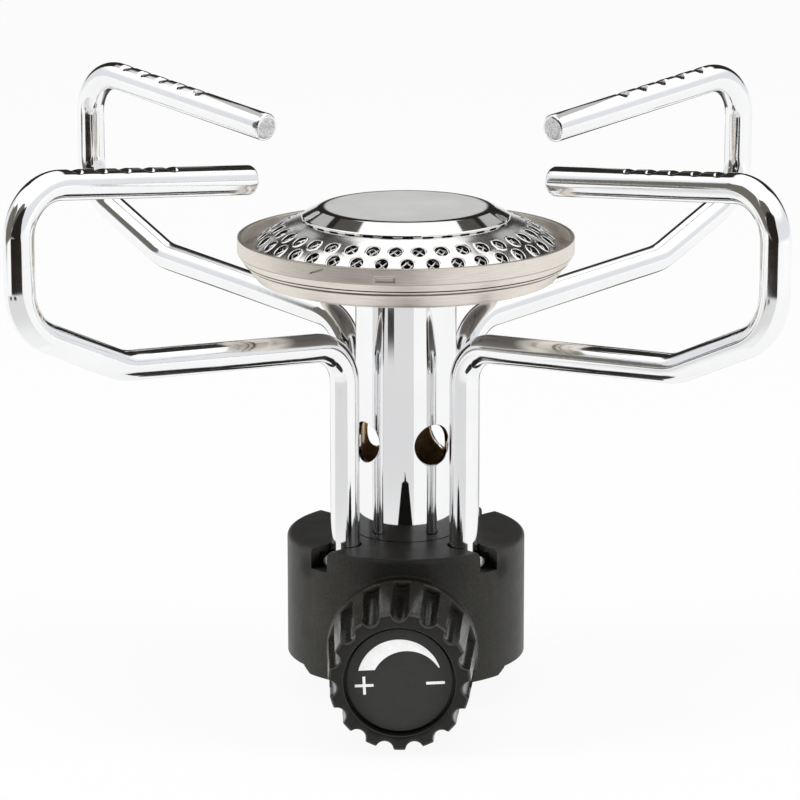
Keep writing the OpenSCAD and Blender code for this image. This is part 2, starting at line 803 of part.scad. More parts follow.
function unit(v) = v / norm(v);
function before(i) = unit(wire_corners[i - 1] - wire_corners[i]);
function after(i) = unit(wire_corners[i + 1] - wire_corners[i]);
function corner_angle(i) = acos(before(i) * after(i));
function tangent(i) = wire_bends[i] == 0 ? 0 : wire_bends[i] / tan(corner_angle(i) / 2);
function bend_start(i) = i == 0 ? wire_corners[i] : wire_corners[i] + before(i) * tangent(i);
function bend_end(i) = i == len(wire_corners) - 1 ? wire_corners[i] : wire_corners[i] + after(i) * tangent(i);
function bend_reach(i) = wire_bends[i] / sin(corner_angle(i) / 2);
function bend_centre(i) = wire_corners[i] + unit(before(i) + after(i)) * bend_reach(i);
function run_from(i) = i == 0 ? wire_corners[i] : bend_end(i) - after(i) * bend_bite;
function run_to(i) = i == len(wire_corners) - 1 ? wire_corners[i] : bend_start(i) - before(i) * bend_bite;
function heading(v) = atan2(v.y, v.x);
function half_turn(a) = a > 180 ? a - 360 : a < -180 ? a + 360 : a;

module wire_run(from, to) {
  reach = to - from;
  lean = atan2(reach.x, reach.y);
  translate([from.x, 0, from.y]) rotate([0, lean, 0]) cylinder(h = norm(reach), r = wire_r);
}

module wire_bend(i) {
  centre = bend_centre(i);
  first = heading(bend_start(i) - centre);
  sweep = half_turn(heading(bend_end(i) - centre) - first);
  start = sweep < 0 ? first + sweep : first;
  translate([centre.x, 0, centre.y]) rotate([90, 0, 0]) rotate([0, 0, start]) {
    rotate_extrude(angle = abs(sweep)) translate([wire_bends[i], 0]) circle(r = wire_r + bend_swell);
  }
}

module pot_support(angle) {
  last = len(wire_corners) - 1;
  tip = wire_corners[last];
  back = before(last);
  above = [-back.y, back.x];
  through = wire_d + 2 * sweep_over;
  color([0.85, 0.86, 0.88]) rotate([0, 0, angle]) difference() {
    union() {
      for (i = [0:last - 1]) wire_run(run_from(i), run_to(i + 1));
      for (i = [1:last - 1]) wire_bend(i);
    }
    for (notch = [0:notch_count - 1]) {
      along = notch_start + notch * notch_pitch;
      spot = tip + back * along + above * (wire_r - notch_depth + notch_tool_r);
      translate([spot.x, 0, spot.y]) rotate([90, 0, 0]) {
        cylinder(h = through, r = notch_tool_r, center = true);
      }
    }
    translate([leg_r, 0, pin_z]) rotate([0, 90, 0]) {
      cylinder(h = through, r = pin_r + seat_clear, center = true);
    }
    translate([leg_r, 0, 0]) tube_piece(clip_z, clip_z + clip_t, wire_r + sweep_over, wire_r - clip_groove);
  }
}

module cross_pin(angle) {
  color([0.8, 0.8, 0.8]) at_leg(angle) translate([-pin_tail, 0, pin_z]) {
    rotate([0, 90, 0]) cylinder(h = pin_reach + pin_tail, r = pin_r);
  }
}

module leg_clip(angle) {
  gap = 2 * (wire_r - clip_groove) - clip_grip;
  color([0.6, 0.6, 0.62]) at_leg(angle) difference() {
    tube_piece(clip_z + seat_clear, clip_z + clip_t - seat_clear, clip_r, wire_r - clip_groove + seat_clear);
    translate([0, -gap / 2, 0]) cube([2 * clip_r, gap, base_h]);
  }
}

// A smooth tapered body with a rounded front edge, drawn with its back at the origin.
module knob_outline() {
  polygon(concat(
    [[0, 0], [knob_back_r - back_edge, 0], [knob_back_r, back_edge]],
    [for (step = [0:edge_steps]) [
      knob_front_r - knob_edge * (1 - cos(90 * step / edge_steps)),
      knob_len - knob_edge * (1 - sin(90 * step / edge_steps))
    ]],
    [[0, knob_len]]
  ));
}

module control_knob() {
  color([0.1, 0.1, 0.1]) on_front_axis(knob_y) difference() {
    rotate_extrude() knob_outline();
    for (flute = [0:flute_count - 1]) rotate([0, 0, 90 + flute * 360 / flute_count]) {
      translate([knob_back_r + flute_out, 0, 0]) rotate([0, -knob_taper, 0]) translate([0, 0, knob_flange]) {
        cylinder(h = knob_len, r = flute_r, $fn = 24);
      }
    }
    translate([0, 0, -sweep_over]) cylinder(h = web_start + sweep_over, r = knob_bore_r);
    cylinder(h = knob_len, r = nose_r + run_clear);
    translate([0, 0, web_start + web_len]) cylinder(h = knob_len, r = insert_r);
    translate([0, 0, disc_seat]) cylinder(h = knob_len, r = disc_r + disc_gap);
  }
}

module knob_insert() {
  flat = drive_flat + run_clear;
  bore = spindle_r + run_clear;
  color([0.8, 0.68, 0.38]) on_front_axis(knob_y) difference() {
    tube_piece(insert_start, disc_seat, insert_r - seat_clear, 0);
    difference() {
      cylinder(h = knob_len, r = bore);
      translate([-bore, flat, 0]) cube([2 * bore, bore, knob_len]);
    }
  }
}

module knob_disc() {
  color([0.2, 0.2, 0.21]) on_front_axis(knob_y + disc_seat) cylinder(h = disc_t, r = disc_r);
}

// Printed marks: a wedge that thickens towards the open side, a plus and a minus.
module dial_marks() {
  color("white") on_front_axis(knob_y + disc_seat + disc_t) rotate([0, 0, print_tilt]) {
    linear_extrude(height = mark_t) intersection() {
      difference() {
        circle(r = wedge_r);
        translate([wedge_cut_x, -wedge_cut_drop]) circle(r = wedge_cut_r);
      }
      translate([-wedge_r, wedge_low]) square([2 * wedge_r, wedge_r]);
    }
    linear_extrude(height = mark_t) {
      translate([-sign_x, -sign_drop]) square([sign_len, sign_w], center = true);
      translate([-sign_x, -sign_drop]) square([sign_w, sign_len], center = true);
      translate([sign_x, -sign_drop]) square([sign_len, sign_w], center = true);
    }
  }
}

base_housing();
bottom_cover();
cover_screws();
valve_body();
canister_collar();
canister_seal();
inlet_probe();
inlet_filter();
gas_jet();
valve_bonnet();
spindle_seal();
knob_clip();
mixing_tube();
burner_nut();
burner_pan();
burner_rim();
flame_gauze();
burner_ring();
burner_cap();
leg_bush(front_left);  // leg_bush_front_left
leg_bush(front_right);  // leg_bush_front_right
leg_bush(back_left);  // leg_bush_back_left
leg_bush(back_right);  // leg_bush_back_right
valve_spindle();
control_knob();
knob_insert();
knob_disc();
dial_marks();
pot_support(front_left);  // pot_support_front_left
pot_support(front_right);  // pot_support_front_right
pot_support(back_left);  // pot_support_back_left
pot_support(back_right);  // pot_support_back_right
cross_pin(front_left);  // cross_pin_front_left
cross_pin(front_right);  // cross_pin_front_right
cross_pin(back_left);  // cross_pin_back_left
cross_pin(back_right);  // cross_pin_back_right
leg_clip(front_left);  // leg_clip_front_left
leg_clip(front_right);  // leg_clip_front_right
leg_clip(back_left);  // leg_clip_back_left
leg_clip(back_right);  // leg_clip_back_right
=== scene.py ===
import bmesh
import bpy
import math
import numpy as np
from mathutils import Matrix, Vector


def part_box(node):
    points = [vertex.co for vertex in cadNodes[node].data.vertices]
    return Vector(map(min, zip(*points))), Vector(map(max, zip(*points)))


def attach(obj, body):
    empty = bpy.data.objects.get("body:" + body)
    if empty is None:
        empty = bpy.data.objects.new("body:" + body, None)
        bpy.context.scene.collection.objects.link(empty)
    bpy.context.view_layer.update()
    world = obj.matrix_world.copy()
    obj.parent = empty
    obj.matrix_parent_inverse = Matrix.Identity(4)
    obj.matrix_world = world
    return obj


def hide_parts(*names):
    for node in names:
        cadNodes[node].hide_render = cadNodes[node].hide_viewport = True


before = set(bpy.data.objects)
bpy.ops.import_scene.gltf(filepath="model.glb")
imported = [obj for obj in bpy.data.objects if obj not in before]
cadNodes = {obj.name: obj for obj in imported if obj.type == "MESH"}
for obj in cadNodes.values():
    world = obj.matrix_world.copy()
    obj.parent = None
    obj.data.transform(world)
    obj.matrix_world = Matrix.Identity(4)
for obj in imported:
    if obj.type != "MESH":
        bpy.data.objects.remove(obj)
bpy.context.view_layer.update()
scene = bpy.context.scene
scene.view_settings.view_transform = "Standard"
mm = 0.001
fullTurn = 2 * math.pi
corners = {"front_left": 225, "front_right": 315, "back_left": 135, "back_right": 45}  # each leg's compass angle
print("frame loaded:", len(cadNodes), "nodes")


def addObject(name, data):
    made = bpy.data.objects.new(name, data)
    scene.collection.objects.link(made)
    return made


# camera at the photograph's place: compass turn, height angle and distance from a point on the stove's axis
shot = {"turn": 1.43, "rise": 13.44, "away": 682.26, "aim": 41.38, "lens": 196.47, "sensor": 36,
        "shiftX": -0.0074, "shiftY": -0.0009, "clip": (0.02, 30)}
turn, rise = math.radians(shot["turn"]), math.radians(shot["rise"])
back = Vector((math.sin(turn) * math.cos(rise), -math.cos(turn) * math.cos(rise), math.sin(rise)))
right = Vector((math.cos(turn), math.sin(turn), 0))
facing = Matrix((right, back.cross(right), back)).transposed().to_4x4()
camera = addObject("camera", bpy.data.cameras.new("camera"))
camera.matrix_world = Matrix.Translation(Vector((0, 0, shot["aim"] * mm)) + back * shot["away"] * mm) @ facing
camera.data.lens, camera.data.sensor_width = shot["lens"], shot["sensor"]
camera.data.shift_x, camera.data.shift_y = shot["shiftX"], shot["shiftY"]
camera.data.clip_start, camera.data.clip_end = shot["clip"]
scene.camera = camera


# shader helpers: a value may be a number, a colour or another node's socket

def addNode(tree, kind, inputs=None, **settings):
    made = tree.nodes.new("ShaderNode" + kind)
    for key, value in settings.items():
        setattr(made, key, value)
    for key, value in (inputs or {}).items():
        if isinstance(value, bpy.types.NodeSocket):
            tree.links.new(value, made.inputs[key])
        else:
            made.inputs[key].default_value = value
    return made


def emptyMaterial(name):
    material = bpy.data.materials.new(name)
    material.use_nodes = True
    material.node_tree.nodes.clear()
    return material, material.node_tree


def startMaterial(name):
    material, tree = emptyMaterial(name)
    shader = addNode(tree, "BsdfPrincipled")
    addNode(tree, "OutputMaterial", {"Surface": shader.outputs["BSDF"]})
    return material, tree, shader, addNode(tree, "TexCoord").outputs["Object"]


def calc(tree, operation, *values):
    return addNode(tree, "Math", dict(enumerate(values)), operation=operation).outputs[0]


def noiseOf(tree, place, scale, detail=3, rough=0.5, stretch=None):
    if stretch:
        place = addNode(tree, "Mapping", {"Vector": place, "Scale": stretch}).outputs["Vector"]
    wanted = {"Vector": place, "Scale": scale, "Detail": detail, "Roughness": rough}
    return addNode(tree, "TexNoise", wanted).outputs["Fac"]


# low to high while the value goes from fromLow to fromHigh
def spread(tree, value, low, high, fromLow=0.3, fromHigh=0.7, kind="LINEAR"):
    wanted = {0: value, 1: fromLow, 2: fromHigh, 3: low, 4: high}
    return addNode(tree, "MapRange", wanted, interpolation_type=kind).outputs[0]


# dark to light while the value goes from low to high
def shades(tree, value, dark, light, low=0.3, high=0.7):
    ramp = addNode(tree, "ValToRGB", {"Fac": value})
    for element, spot, colour in zip(ramp.color_ramp.elements, (low, high), (dark, light)):
        element.position, element.color = spot, (*colour, 1)
    return ramp.outputs["Color"]


def opaque(colour):
    return colour if isinstance(colour, bpy.types.NodeSocket) else (*colour, 1)


def mixColour(tree, share, first, second, blend="MIX"):
    wanted = {0: share, 6: opaque(first), 7: opaque(second)}
    return addNode(tree, "Mix", wanted, data_type="RGBA", blend_type=blend).outputs[2]


def multiplied(tree, colour, share):
    return mixColour(tree, 1.0, colour, share, "MULTIPLY")


# the tagged share: wear on the knob, painted shade round the rim's stake marks
def wearAndShadeOf(tree):
    return addNode(tree, "Attribute", attribute_name="wear").outputs["Fac"]


def bumpOf(tree, height, strength, depth):
    return addNode(tree, "Bump", {"Height": height, "Strength": strength, "Distance": depth}).outputs["Normal"]


# turned coordinates about the z axis: distance from the axis, angle times a small length, height
def turnedPlace(tree, place, perRadian=0.0011):
    x, y, z = addNode(tree, "SeparateXYZ", {0: place}).outputs
    flat = addNode(tree, "CombineXYZ", {0: x, 1: y}).outputs[0]
    radius = addNode(tree, "VectorMath", {0: flat}, operation="LENGTH").outputs["Value"]
    swept = calc(tree, "MULTIPLY", calc(tree, "ARCTAN2", y, x), perRadian)
    return addNode(tree, "CombineXYZ", {0: radius, 1: swept, 2: z}).outputs[0], radius, z


# moulded plastic: broad tone changes, fine spark-eroded grain in colour and bump, a little gloss variation,
# pale rubbed edges where the mesh is tagged, and painted shade round a few spots
plastic = {"rubScale": 900, "rubShare": (0.5, 1.0), "speck": (0.82, 1.2), "glossScale": 2.6, "grainDepth": 0.00006}


def mouldedPlastic(name, look):
    material, tree, shader, place = startMaterial(name)
    broad = noiseOf(tree, place, look["patch"], detail=4, rough=0.6)
    grain = noiseOf(tree, place, look["grain"], rough=0.65)
    gloss = noiseOf(tree, place, look["patch"] * plastic["glossScale"])
    colour = shades(tree, broad, look["dark"], look["light"])
    colour = multiplied(tree, colour, spread(tree, grain, *look.get("speck", plastic["speck"])))
    if "wear" in look:
        patchy = spread(tree, noiseOf(tree, place, plastic["rubScale"]), *plastic["rubShare"])
        colour = mixColour(tree, calc(tree, "MULTIPLY", wearAndShadeOf(tree), patchy), colour, look["wear"])
    for spot, near, far, darkest in look.get("paintedShade", []):  # painted shade: place, distances where it is full and ends, darkest share
        away = addNode(tree, "VectorMath", {0: place, 1: spot}, operation="DISTANCE").outputs["Value"]
        colour = multiplied(tree, colour, spread(tree, away, darkest, 1, near, far, "SMOOTHSTEP"))
    tree.links.new(colour, shader.inputs["Base Color"])
    tree.links.new(spread(tree, gloss, *look["rough"]), shader.inputs["Roughness"])
    tree.links.new(bumpOf(tree, grain, look["bump"], plastic["grainDepth"]), shader.inputs["Normal"])
    shader.inputs["Specular IOR Level"].default_value = look["shine"]
    for socket, value in zip(("Coat Weight", "Coat Roughness", "Coat IOR"), look.get("coat", ())):
        shader.inputs[socket].default_value = value
    return material


# bare or plated metal: cloudy roughness, hairline marks stretched along one axis or round the turning axis.
# painted shade lines at seams, painted shade towards the axis and a satin middle are for turned metal only
# the tint is for the painted shade in seams
metal = {"hairDepth": 0.00002, "shadeTint": (1, 0.96, 0.9), "dullFrom": (0.7, 1.3)}


def metalFinish(name, look):
    material, tree, shader, place = startMaterial(name)
    shader.inputs["Metallic"].default_value = look.get("metal", 1)
    lay = place
    if look.get("turned"):
        lay, radius, height = turnedPlace(tree, place)
    cloud = noiseOf(tree, place, look["cloud"], rough=0.6)
    hair = noiseOf(tree, lay, look["hair"], rough=0.7, stretch=look.get("stretch"))
    colour = shades(tree, cloud, look["dark"], look["light"])
    if "streak" in look:
        colour = multiplied(tree, colour, shades(tree, hair, (look["streak"],) * 3, (1, 1, 1), 0.35, 0.65))
    for level, half, darkest in look.get("seamShade", []):  # painted shade in a seam: height, half width, darkest share
        near = calc(tree, "COMPARE", height, level, half)
        colour = multiplied(tree, colour, mixColour(tree, near, (1, 1, 1), [darkest * c for c in metal["shadeTint"]]))
    if "undersideShade" in look:  # painted shade under the pan, darker towards the axis: radii where it is full and where it ends, darkest share
        full, ends, darkest = look["undersideShade"]
        colour = multiplied(tree, colour, spread(tree, radius, darkest, 1, full, ends))
    if "pressed" in look:  # painted shade along the stake marks' pressed edges
        colour = mixColour(tree, wearAndShadeOf(tree), colour, look["pressed"])
    dull = spread(tree, calc(tree, "ADD", cloud, hair), *look["rough"], *metal["dullFrom"])
    if "satin" in look:  # duller towards the axis: the same two radii, added roughness, share of metal
        full, ends, added, share = look["satin"]
        dull = calc(tree, "ADD", dull, spread(tree, radius, added, 0, full, ends))
        tree.links.new(spread(tree, radius, share, 1, full, ends), shader.inputs["Metallic"])
    tree.links.new(colour, shader.inputs["Base Color"])
    tree.links.new(dull, shader.inputs["Roughness"])
    tree.links.new(bumpOf(tree, hair, look["bump"], look.get("depth", metal["hairDepth"])), shader.inputs["Normal"])
    return material


# noise scales are per metre, colours are linear, low and high pairs are the ends of a variation
finishes = {
    "black_nylon": mouldedPlastic("moulded black nylon", {
        "patch": 160, "grain": 5200, "dark": (0.0185, 0.0179, 0.0156), "light": (0.026, 0.0252, 0.022),
        "speck": (0.5, 1.6), "rough": (0.52, 0.64), "bump": 0.5, "shine": 0.1, "coat": (0.5, 0.35, 1.25),
        # painted shade on the deck in front of the tube and inside the two front slots
        "paintedShade": [((0, -0.0135, 0.0204), 0.004, 0.014, 0.5),
                  ((-0.0138, -0.0098, 0.0172), 0.0016, 0.003, 0.15),
                  ((0.0138, -0.0098, 0.0172), 0.0016, 0.003, 0.15)]}),
    "black_knob": mouldedPlastic("moulded black knob", {
        "patch": 200, "grain": 6400, "dark": (0.006, 0.0056, 0.0046), "light": (0.009, 0.0084, 0.0069),
        "speck": (0.65, 1.4), "rough": (0.48, 0.6), "bump": 0.3, "shine": 0.08, "coat": (1.0, 0.2, 1.3),
        "wear": (0.045, 0.0425, 0.037)}),
    "dial_grey": mouldedPlastic("dial disc grey", {
        "patch": 260, "grain": 9000, "dark": (0.0245, 0.0241, 0.0227), "light": (0.0288, 0.0283, 0.0268),
        "rough": (0.42, 0.52), "bump": 0.15, "shine": 0.3}),
    "dial_white": mouldedPlastic("dial print white", {
        "patch": 900, "grain": 12000, "dark": (0.78, 0.78, 0.77), "light": (0.86, 0.86, 0.85),
        "rough": (0.45, 0.55), "bump": 0.1, "shine": 0.5}),
    "nitrile": mouldedPlastic("nitrile rubber", {
        "patch": 300, "grain": 4000, "dark": (0.012, 0.012, 0.012), "light": (0.02, 0.02, 0.02),
        "rough": (0.6, 0.75), "bump": 0.3, "shine": 0.35}),
    "chrome_wire": metalFinish("chromed wire", {
        "cloud": 90, "hair": 700, "dark": (0.9, 0.903, 0.91), "light": (0.95, 0.952, 0.955),
        "rough": (0.06, 0.12), "bump": 0.04}),
    "chrome_tube": metalFinish("chromed tube", {
        "cloud": 70, "hair": 500, "turned": True, "stretch": (1, 1, 0.2),
        "dark": (0.9, 0.902, 0.908), "light": (0.95, 0.951, 0.955), "rough": (0.03, 0.06), "bump": 0.02}),
    "burner_stainless": metalFinish("turned stainless", {
        "cloud": 110, "hair": 5200, "turned": True, "dark": (0.86, 0.8, 0.725), "light": (0.93, 0.87, 0.795),
        # pressed: painted shade along the stake marks' edges
        "streak": 0.84, "rough": (0.36, 0.48), "bump": 0.22, "pressed": (0.3, 0.27, 0.235),
        # painted shade on the pan's underside, darker towards the axis
        "undersideShade": (0.0178, 0.0208, 0.22),
        # painted shade lines at the pan-rim seam and along the band's lower and upper edges
        "seamShade": [(0.06318, 0.00012, 0.3), (0.06506, 0.00007, 0.5), (0.06751, 0.00007, 0.55)]}),
    "polished_stainless": metalFinish("polished stainless", {
        "cloud": 150, "hair": 3600, "turned": True, "dark": (0.76, 0.755, 0.745), "light": (0.84, 0.837, 0.83),
        "rough": (0.13, 0.22), "bump": 0.05}),
    "gauze_steel": metalFinish("gauze steel", {
        "cloud": 400, "hair": 5000, "dark": (0.87, 0.86, 0.84), "light": (0.95, 0.94, 0.92), "metal": 0.35,
        "rough": (0.3, 0.45), "bump": 0.1}),
    "zinc_steel": metalFinish("zinc plated steel", {
        "cloud": 350, "hair": 2600, "dark": (0.6, 0.61, 0.62), "light": (0.74, 0.74, 0.75),
        "rough": (0.18, 0.34), "bump": 0.12}),
    "valve_brass": metalFinish("machined brass", {
        "cloud": 220, "hair": 4200, "turned": True, "dark": (0.66, 0.45, 0.19), "light": (0.78, 0.57, 0.28),
        "streak": 0.9, "rough": (0.2, 0.36), "bump": 0.14}),
    "filter_bronze": metalFinish("sintered bronze", {
        "cloud": 1500, "hair": 7000, "dark": (0.3, 0.19, 0.09), "light": (0.45, 0.3, 0.15),
        "rough": (0.45, 0.7), "bump": 0.6}),
}

# finishes of single faces or of one piece, beside the record's slots
tubeInside = metalFinish("bare tube inside", {
    "cloud": 260, "hair": 3000, "turned": True, "dark": (0.46, 0.3, 0.145), "light": (0.66, 0.47, 0.27), "metal": 0.9,
    "streak": 0.93, "rough": (0.12, 0.24), "bump": 0.08})
# painted shade: a near-black finish for the faces inside the burner chamber
burnerInsideShade = metalFinish("painted shade inside the burner", {
    "cloud": 200, "hair": 2600, "turned": True, "dark": (0.035, 0.03, 0.026), "light": (0.07, 0.06, 0.05),
    "streak": 0.8, "rough": (0.45, 0.65), "bump": 0.15})
wireEnd = metalFinish("sheared wire end", {
    "cloud": 600, "hair": 1500, "dark": (0.62, 0.62, 0.625), "light": (0.96, 0.96, 0.96),
    "rough": (0.22, 0.42), "bump": 0.8, "depth": 0.0002})
capFinish = metalFinish("polished cap with satin top", {
    "cloud": 150, "hair": 3600, "turned": True, "dark": (0.72, 0.715, 0.705), "light": (0.8, 0.797, 0.79),
    "rough": (0.05, 0.1), "bump": 0.03, "satin": (0.0123, 0.0129, 0.42, 0.28)})
print("finishes made for", len(finishes), "slots, the tube, the burner, the wire ends and the cap")


# shape helpers, all in millimetres

# quads between neighbouring points of a rows x cols grid, with either side joined round to its start
def gridFaces(rows, cols, closeRows=False, closeCols=False, start=0):
    a, b = np.meshgrid(np.arange(rows if closeRows else rows - 1), np.arange(cols if closeCols else cols - 1),
                       indexing="ij")
    c, d = (a + 1) % rows, (b + 1) % cols
    return start + np.stack([a * cols + b, c * cols + b, c * cols + d, a * cols + d], -1).reshape(-1, 4)


# grids that are closed round their columns, as one list of points and one of faces. Each grid comes with a mark
# for each strip between two rows, which the strip's faces take over
def joinGrids(grids):
    points, faces, marks, count = [], [], [], 0
    for grid, marked in grids:
        rows, cols = grid.shape[:2]
        points.append(grid.reshape(-1, 3))
        faces.append(gridFaces(rows, cols, closeCols=True, start=count))
        marks.append(np.repeat(marked, cols))
        count += rows * cols
    return np.concatenate(points), np.concatenate(faces), np.concatenate(marks)


# marks for a grid's last strips
def lastStrips(grid, strips):
    return np.arange(len(grid) - 1) >= len(grid) - 1 - strips


# a line through the corners, each corner turned into an arc whose tangent points lie radius * tan(half the turn)
# from it. Gives the points and the heading at each
def roundedLine(points, radii, perArc=6):
    points = np.asarray(points, float)
    line, headings = [points[:1]], []
    for k in range(1, len(points) - 1):
        into, out = points[k] - points[k - 1], points[k + 1] - points[k]
        first, last = math.atan2(into[1], into[0]), math.atan2(out[1], out[0])
        bend = (last - first + math.pi) % fullTurn - math.pi
        side = math.copysign(1, bend)
        reach = radii[k] * math.tan(abs(bend) / 2)
        start = points[k] - into / np.hypot(*into) * reach
        middle = start + radii[k] * side * np.array([-math.sin(first), math.cos(first)])
        angles = first + bend * np.linspace(0, 1, perArc + 1)
        line.append(middle + radii[k] * side * np.stack([np.sin(angles), -np.cos(angles)], 1))
        headings.append(angles)
    line.append(points[-1:])
    (startX, startY), (endX, endY) = points[1] - points[0], points[-1] - points[-2]
    headings = [[math.atan2(startY, startX)], *headings, [math.atan2(endY, endX)]]
    return np.concatenate(line), np.unwrap(np.concatenate(headings))


# a closed outline with rounded corners, walked from the middle of its first side
def roundedLoop(points, radii):
    points = np.asarray(points, float)
    middle = (points[0] + points[1]) / 2
    order = [*range(1, len(points)), 0]
    line, _ = roundedLine([middle, *points[order], middle], [0, *[radii[k] for k in order], 0])
    return line[:-1]


# distance along a line of points, from its start
def lengthAlong(line):
    return np.concatenate([[0], np.cumsum(np.hypot(*np.diff(line, axis=0).T))])


# each (radius, height) of the outline carried round the z axis, from a start angle
def revolved(outline, turns, start=0.0):
    angle = start + np.arange(turns) / turns * fullTurn
    r, z = np.asarray(outline, float).T[:, :, None]
    return np.stack([r * np.cos(angle), r * np.sin(angle), z + 0 * angle], -1)


# points turned about the z axis to a compass angle
def spun(points, compass):
    c, s = math.cos(math.radians(compass)), math.sin(math.radians(compass))
    return points @ np.array([[c, s, 0], [-s, c, 0], [0, 0, 1]])


# the smaller of two values, rounded over where they are within about k
def softMin(a, b, k):
    return (a + b - np.sqrt((a - b) ** 2 + k * k)) / 2


def smoothShaded(mesh, hard):
    mesh.polygons.foreach_set("use_smooth", np.ones(len(mesh.polygons), bool))
    mesh.set_sharp_from_angle(angle=math.radians(hard))


merge = {"doubles": 2e-7, "slivers": 1e-8}  # in metres


# the mesh object: doubled points merged, faces turned outwards, edges sharper than the angle kept hard. The tags
# say how worn each point is on the knob and where shade is painted round the rim's stake marks, and inside is
# a second finish with the faces that take it
def addPiece(name, points, faces, finish, body, stands=(), hard=40, tags=None, inside=None):
    mesh = bpy.data.meshes.new(name)
    mesh.from_pydata((np.asarray(points, float).reshape(-1, 3) * mm).tolist(), [], np.asarray(faces).tolist())
    if tags is not None:
        worn = mesh.attributes.new("wear", "FLOAT", "POINT")
        worn.data.foreach_set("value", np.asarray(tags, np.float32).ravel())
    mesh.materials.append(finishes[finish])
    if inside is not None:
        mesh.materials.append(inside[0])
        mesh.polygons.foreach_set("material_index", np.asarray(inside[1], np.int32))
    work = bmesh.new()
    work.from_mesh(mesh)
    bmesh.ops.remove_doubles(work, verts=work.verts, dist=merge["doubles"])
    bmesh.ops.dissolve_degenerate(work, edges=work.edges, dist=merge["slivers"])
    bmesh.ops.recalc_face_normals(work, faces=work.faces)
    work.to_mesh(mesh)
    work.free()
    smoothShaded(mesh, hard)
    piece = addObject(name, mesh)
    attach(piece, body)
    if stands:
        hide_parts(*stands)
    return piece


# pot supports: a round wire carried along the bent line, grip notches pressed into its top, sheared end rounded.
# first is the free end's distance to a notch. Rings stand closer at the notches and for margin on either side, and
# bare is the length at the end with rings only in its rounding. foot and face size the closing rings
support = {
    "corners": [(13, 2), (13, 52), (57.4, 55.9), (76.3, 64.4), (76.3, 85.1), (32.1, 80.35)],
    "bends": [0, 6.5, 10, 9, 7, 0], "perBend": 48, "wire": 2.25, "sides": 56,
    "notches": 5, "pitch": 4.5, "first": 16.3, "tool": 1.6, "depth": 0.45, "soften": 0.05,
    "coarse": 0.5, "fine": 0.13, "margin": 3, "bare": 1, "endRound": 0.55, "endRings": 9,
    "foot": [0.0, 0.6], "face": [0.6, 0.25, 0.0]}


# round the wire: up = size * cos, side = size * sin, with up held under the notches' floor, an arc of the tool
def supportShape(spec):
    line, heading = roundedLine(spec["corners"], spec["bends"], spec["perBend"])
    along = lengthAlong(line)
    total = along[-1]
    grip = spec["first"] + spec["pitch"] * np.arange(spec["notches"])
    gripFrom, gripTo = total - grip[-1] - spec["margin"], total - grip[0] + spec["margin"]
    s = np.concatenate([
        np.arange(0, gripFrom, spec["coarse"]), np.arange(gripFrom, gripTo, spec["fine"]),
        np.arange(gripTo, total - spec["bare"], spec["coarse"]),
        total - spec["endRound"] * (1 - np.sin(np.linspace(0, np.pi / 2, spec["endRings"])))])
    r, z, way = (np.interp(s, along, values) for values in (*line.T, heading))
    left = np.maximum(total - s, 0)
    inset = np.maximum(spec["endRound"] - left, 0)
    size = spec["wire"] - spec["endRound"] + np.sqrt(np.maximum(spec["endRound"] ** 2 - inset ** 2, 0))
    close = np.abs(left[:, None] - grip).min(1)  # distance to the nearest notch
    floor = spec["wire"] - spec["depth"] + spec["tool"] - np.sqrt(np.maximum(spec["tool"] ** 2 - close ** 2, 0))
    floor = np.where(close < spec["tool"], floor, 2 * spec["wire"])
    shrink = np.concatenate([spec["foot"], np.ones(len(s)), spec["face"]])[:, None]
    pick = np.concatenate([[0] * len(spec["foot"]), np.arange(len(s)), [len(s) - 1] * len(spec["face"])])
    angle = np.arange(spec["sides"]) / spec["sides"] * fullTurn
    up = softMin(size[:, None] * np.cos(angle), floor[:, None], spec["soften"])[pick] * shrink
    side = (size[:, None] * np.sin(angle))[pick] * shrink
    r, z, way = r[pick, None], z[pick, None], way[pick, None]
    return np.stack([r + up * np.sin(way), side, z - up * np.cos(way)], -1)


wire = supportShape(support)
wirePoints, wireFaces, wireEnds = joinGrids([(wire, lastStrips(wire, len(support["face"])))])
for corner, compass in corners.items():
    addPiece("support_wire_" + corner, spun(wirePoints, compass), wireFaces, "chrome_wire", "support_" + corner,
             ["pot_support_" + corner], hard=60, inside=(wireEnd, wireEnds))
print("pot supports made")

# cross pins: short round bars with softened ends, lying through the legs
pin = {"radius": 0.9, "reach": 3.9, "tail": 2.7, "height": 18.35, "leg": 13.0, "soften": 0.22, "turns": 40}
pinLine, _ = roundedLine([(0, -pin["tail"]), (pin["radius"], -pin["tail"]), (pin["radius"], pin["reach"]),
                          (0, pin["reach"])], [0, pin["soften"], pin["soften"], 0])
pinShape = revolved(pinLine, pin["turns"])[..., [2, 0, 1]] + np.array([pin["leg"], 0, pin["height"]])
pinFaces = gridFaces(*pinShape.shape[:2], closeCols=True)
for corner, compass in corners.items():
    addPiece("leg_pin_" + corner, spun(pinShape, compass), pinFaces, "zinc_steel", "support_" + corner,
             ["cross_pin_" + corner])
print("cross pins made")

# mixing tube: the wall unrolled into four panels, each with one air hole, and plain walls above and below them.
# half is the half height of a panel, crowd draws its rows towards the hole
tube = {"outer": 7.85, "wall": 0.8, "low": 13.6, "high": 60.8, "neck": 7.4, "neckTop": 63.4, "topEdge": 0.15,
        "hole": 3.2, "holeZ": 35.6, "holeTurn": 35.5, "holes": 4, "half": 5.0, "perSide": 32, "steps": 14,
        "crowd": 1.3, "lip": 0.14, "lipRows": 5, "lowRings": 9, "highRings": 11, "innerRings": 12}


# once round a square of half size 1, from its lower left corner
def squareWalk(perSide):
    edge, one = np.linspace(-1, 1, perSide + 1)[:-1], np.ones(perSide)
    sides = (edge, -one), (one, edge), (-edge, one), (-one, -edge)
    return np.concatenate([np.stack(side, 1) for side in sides])


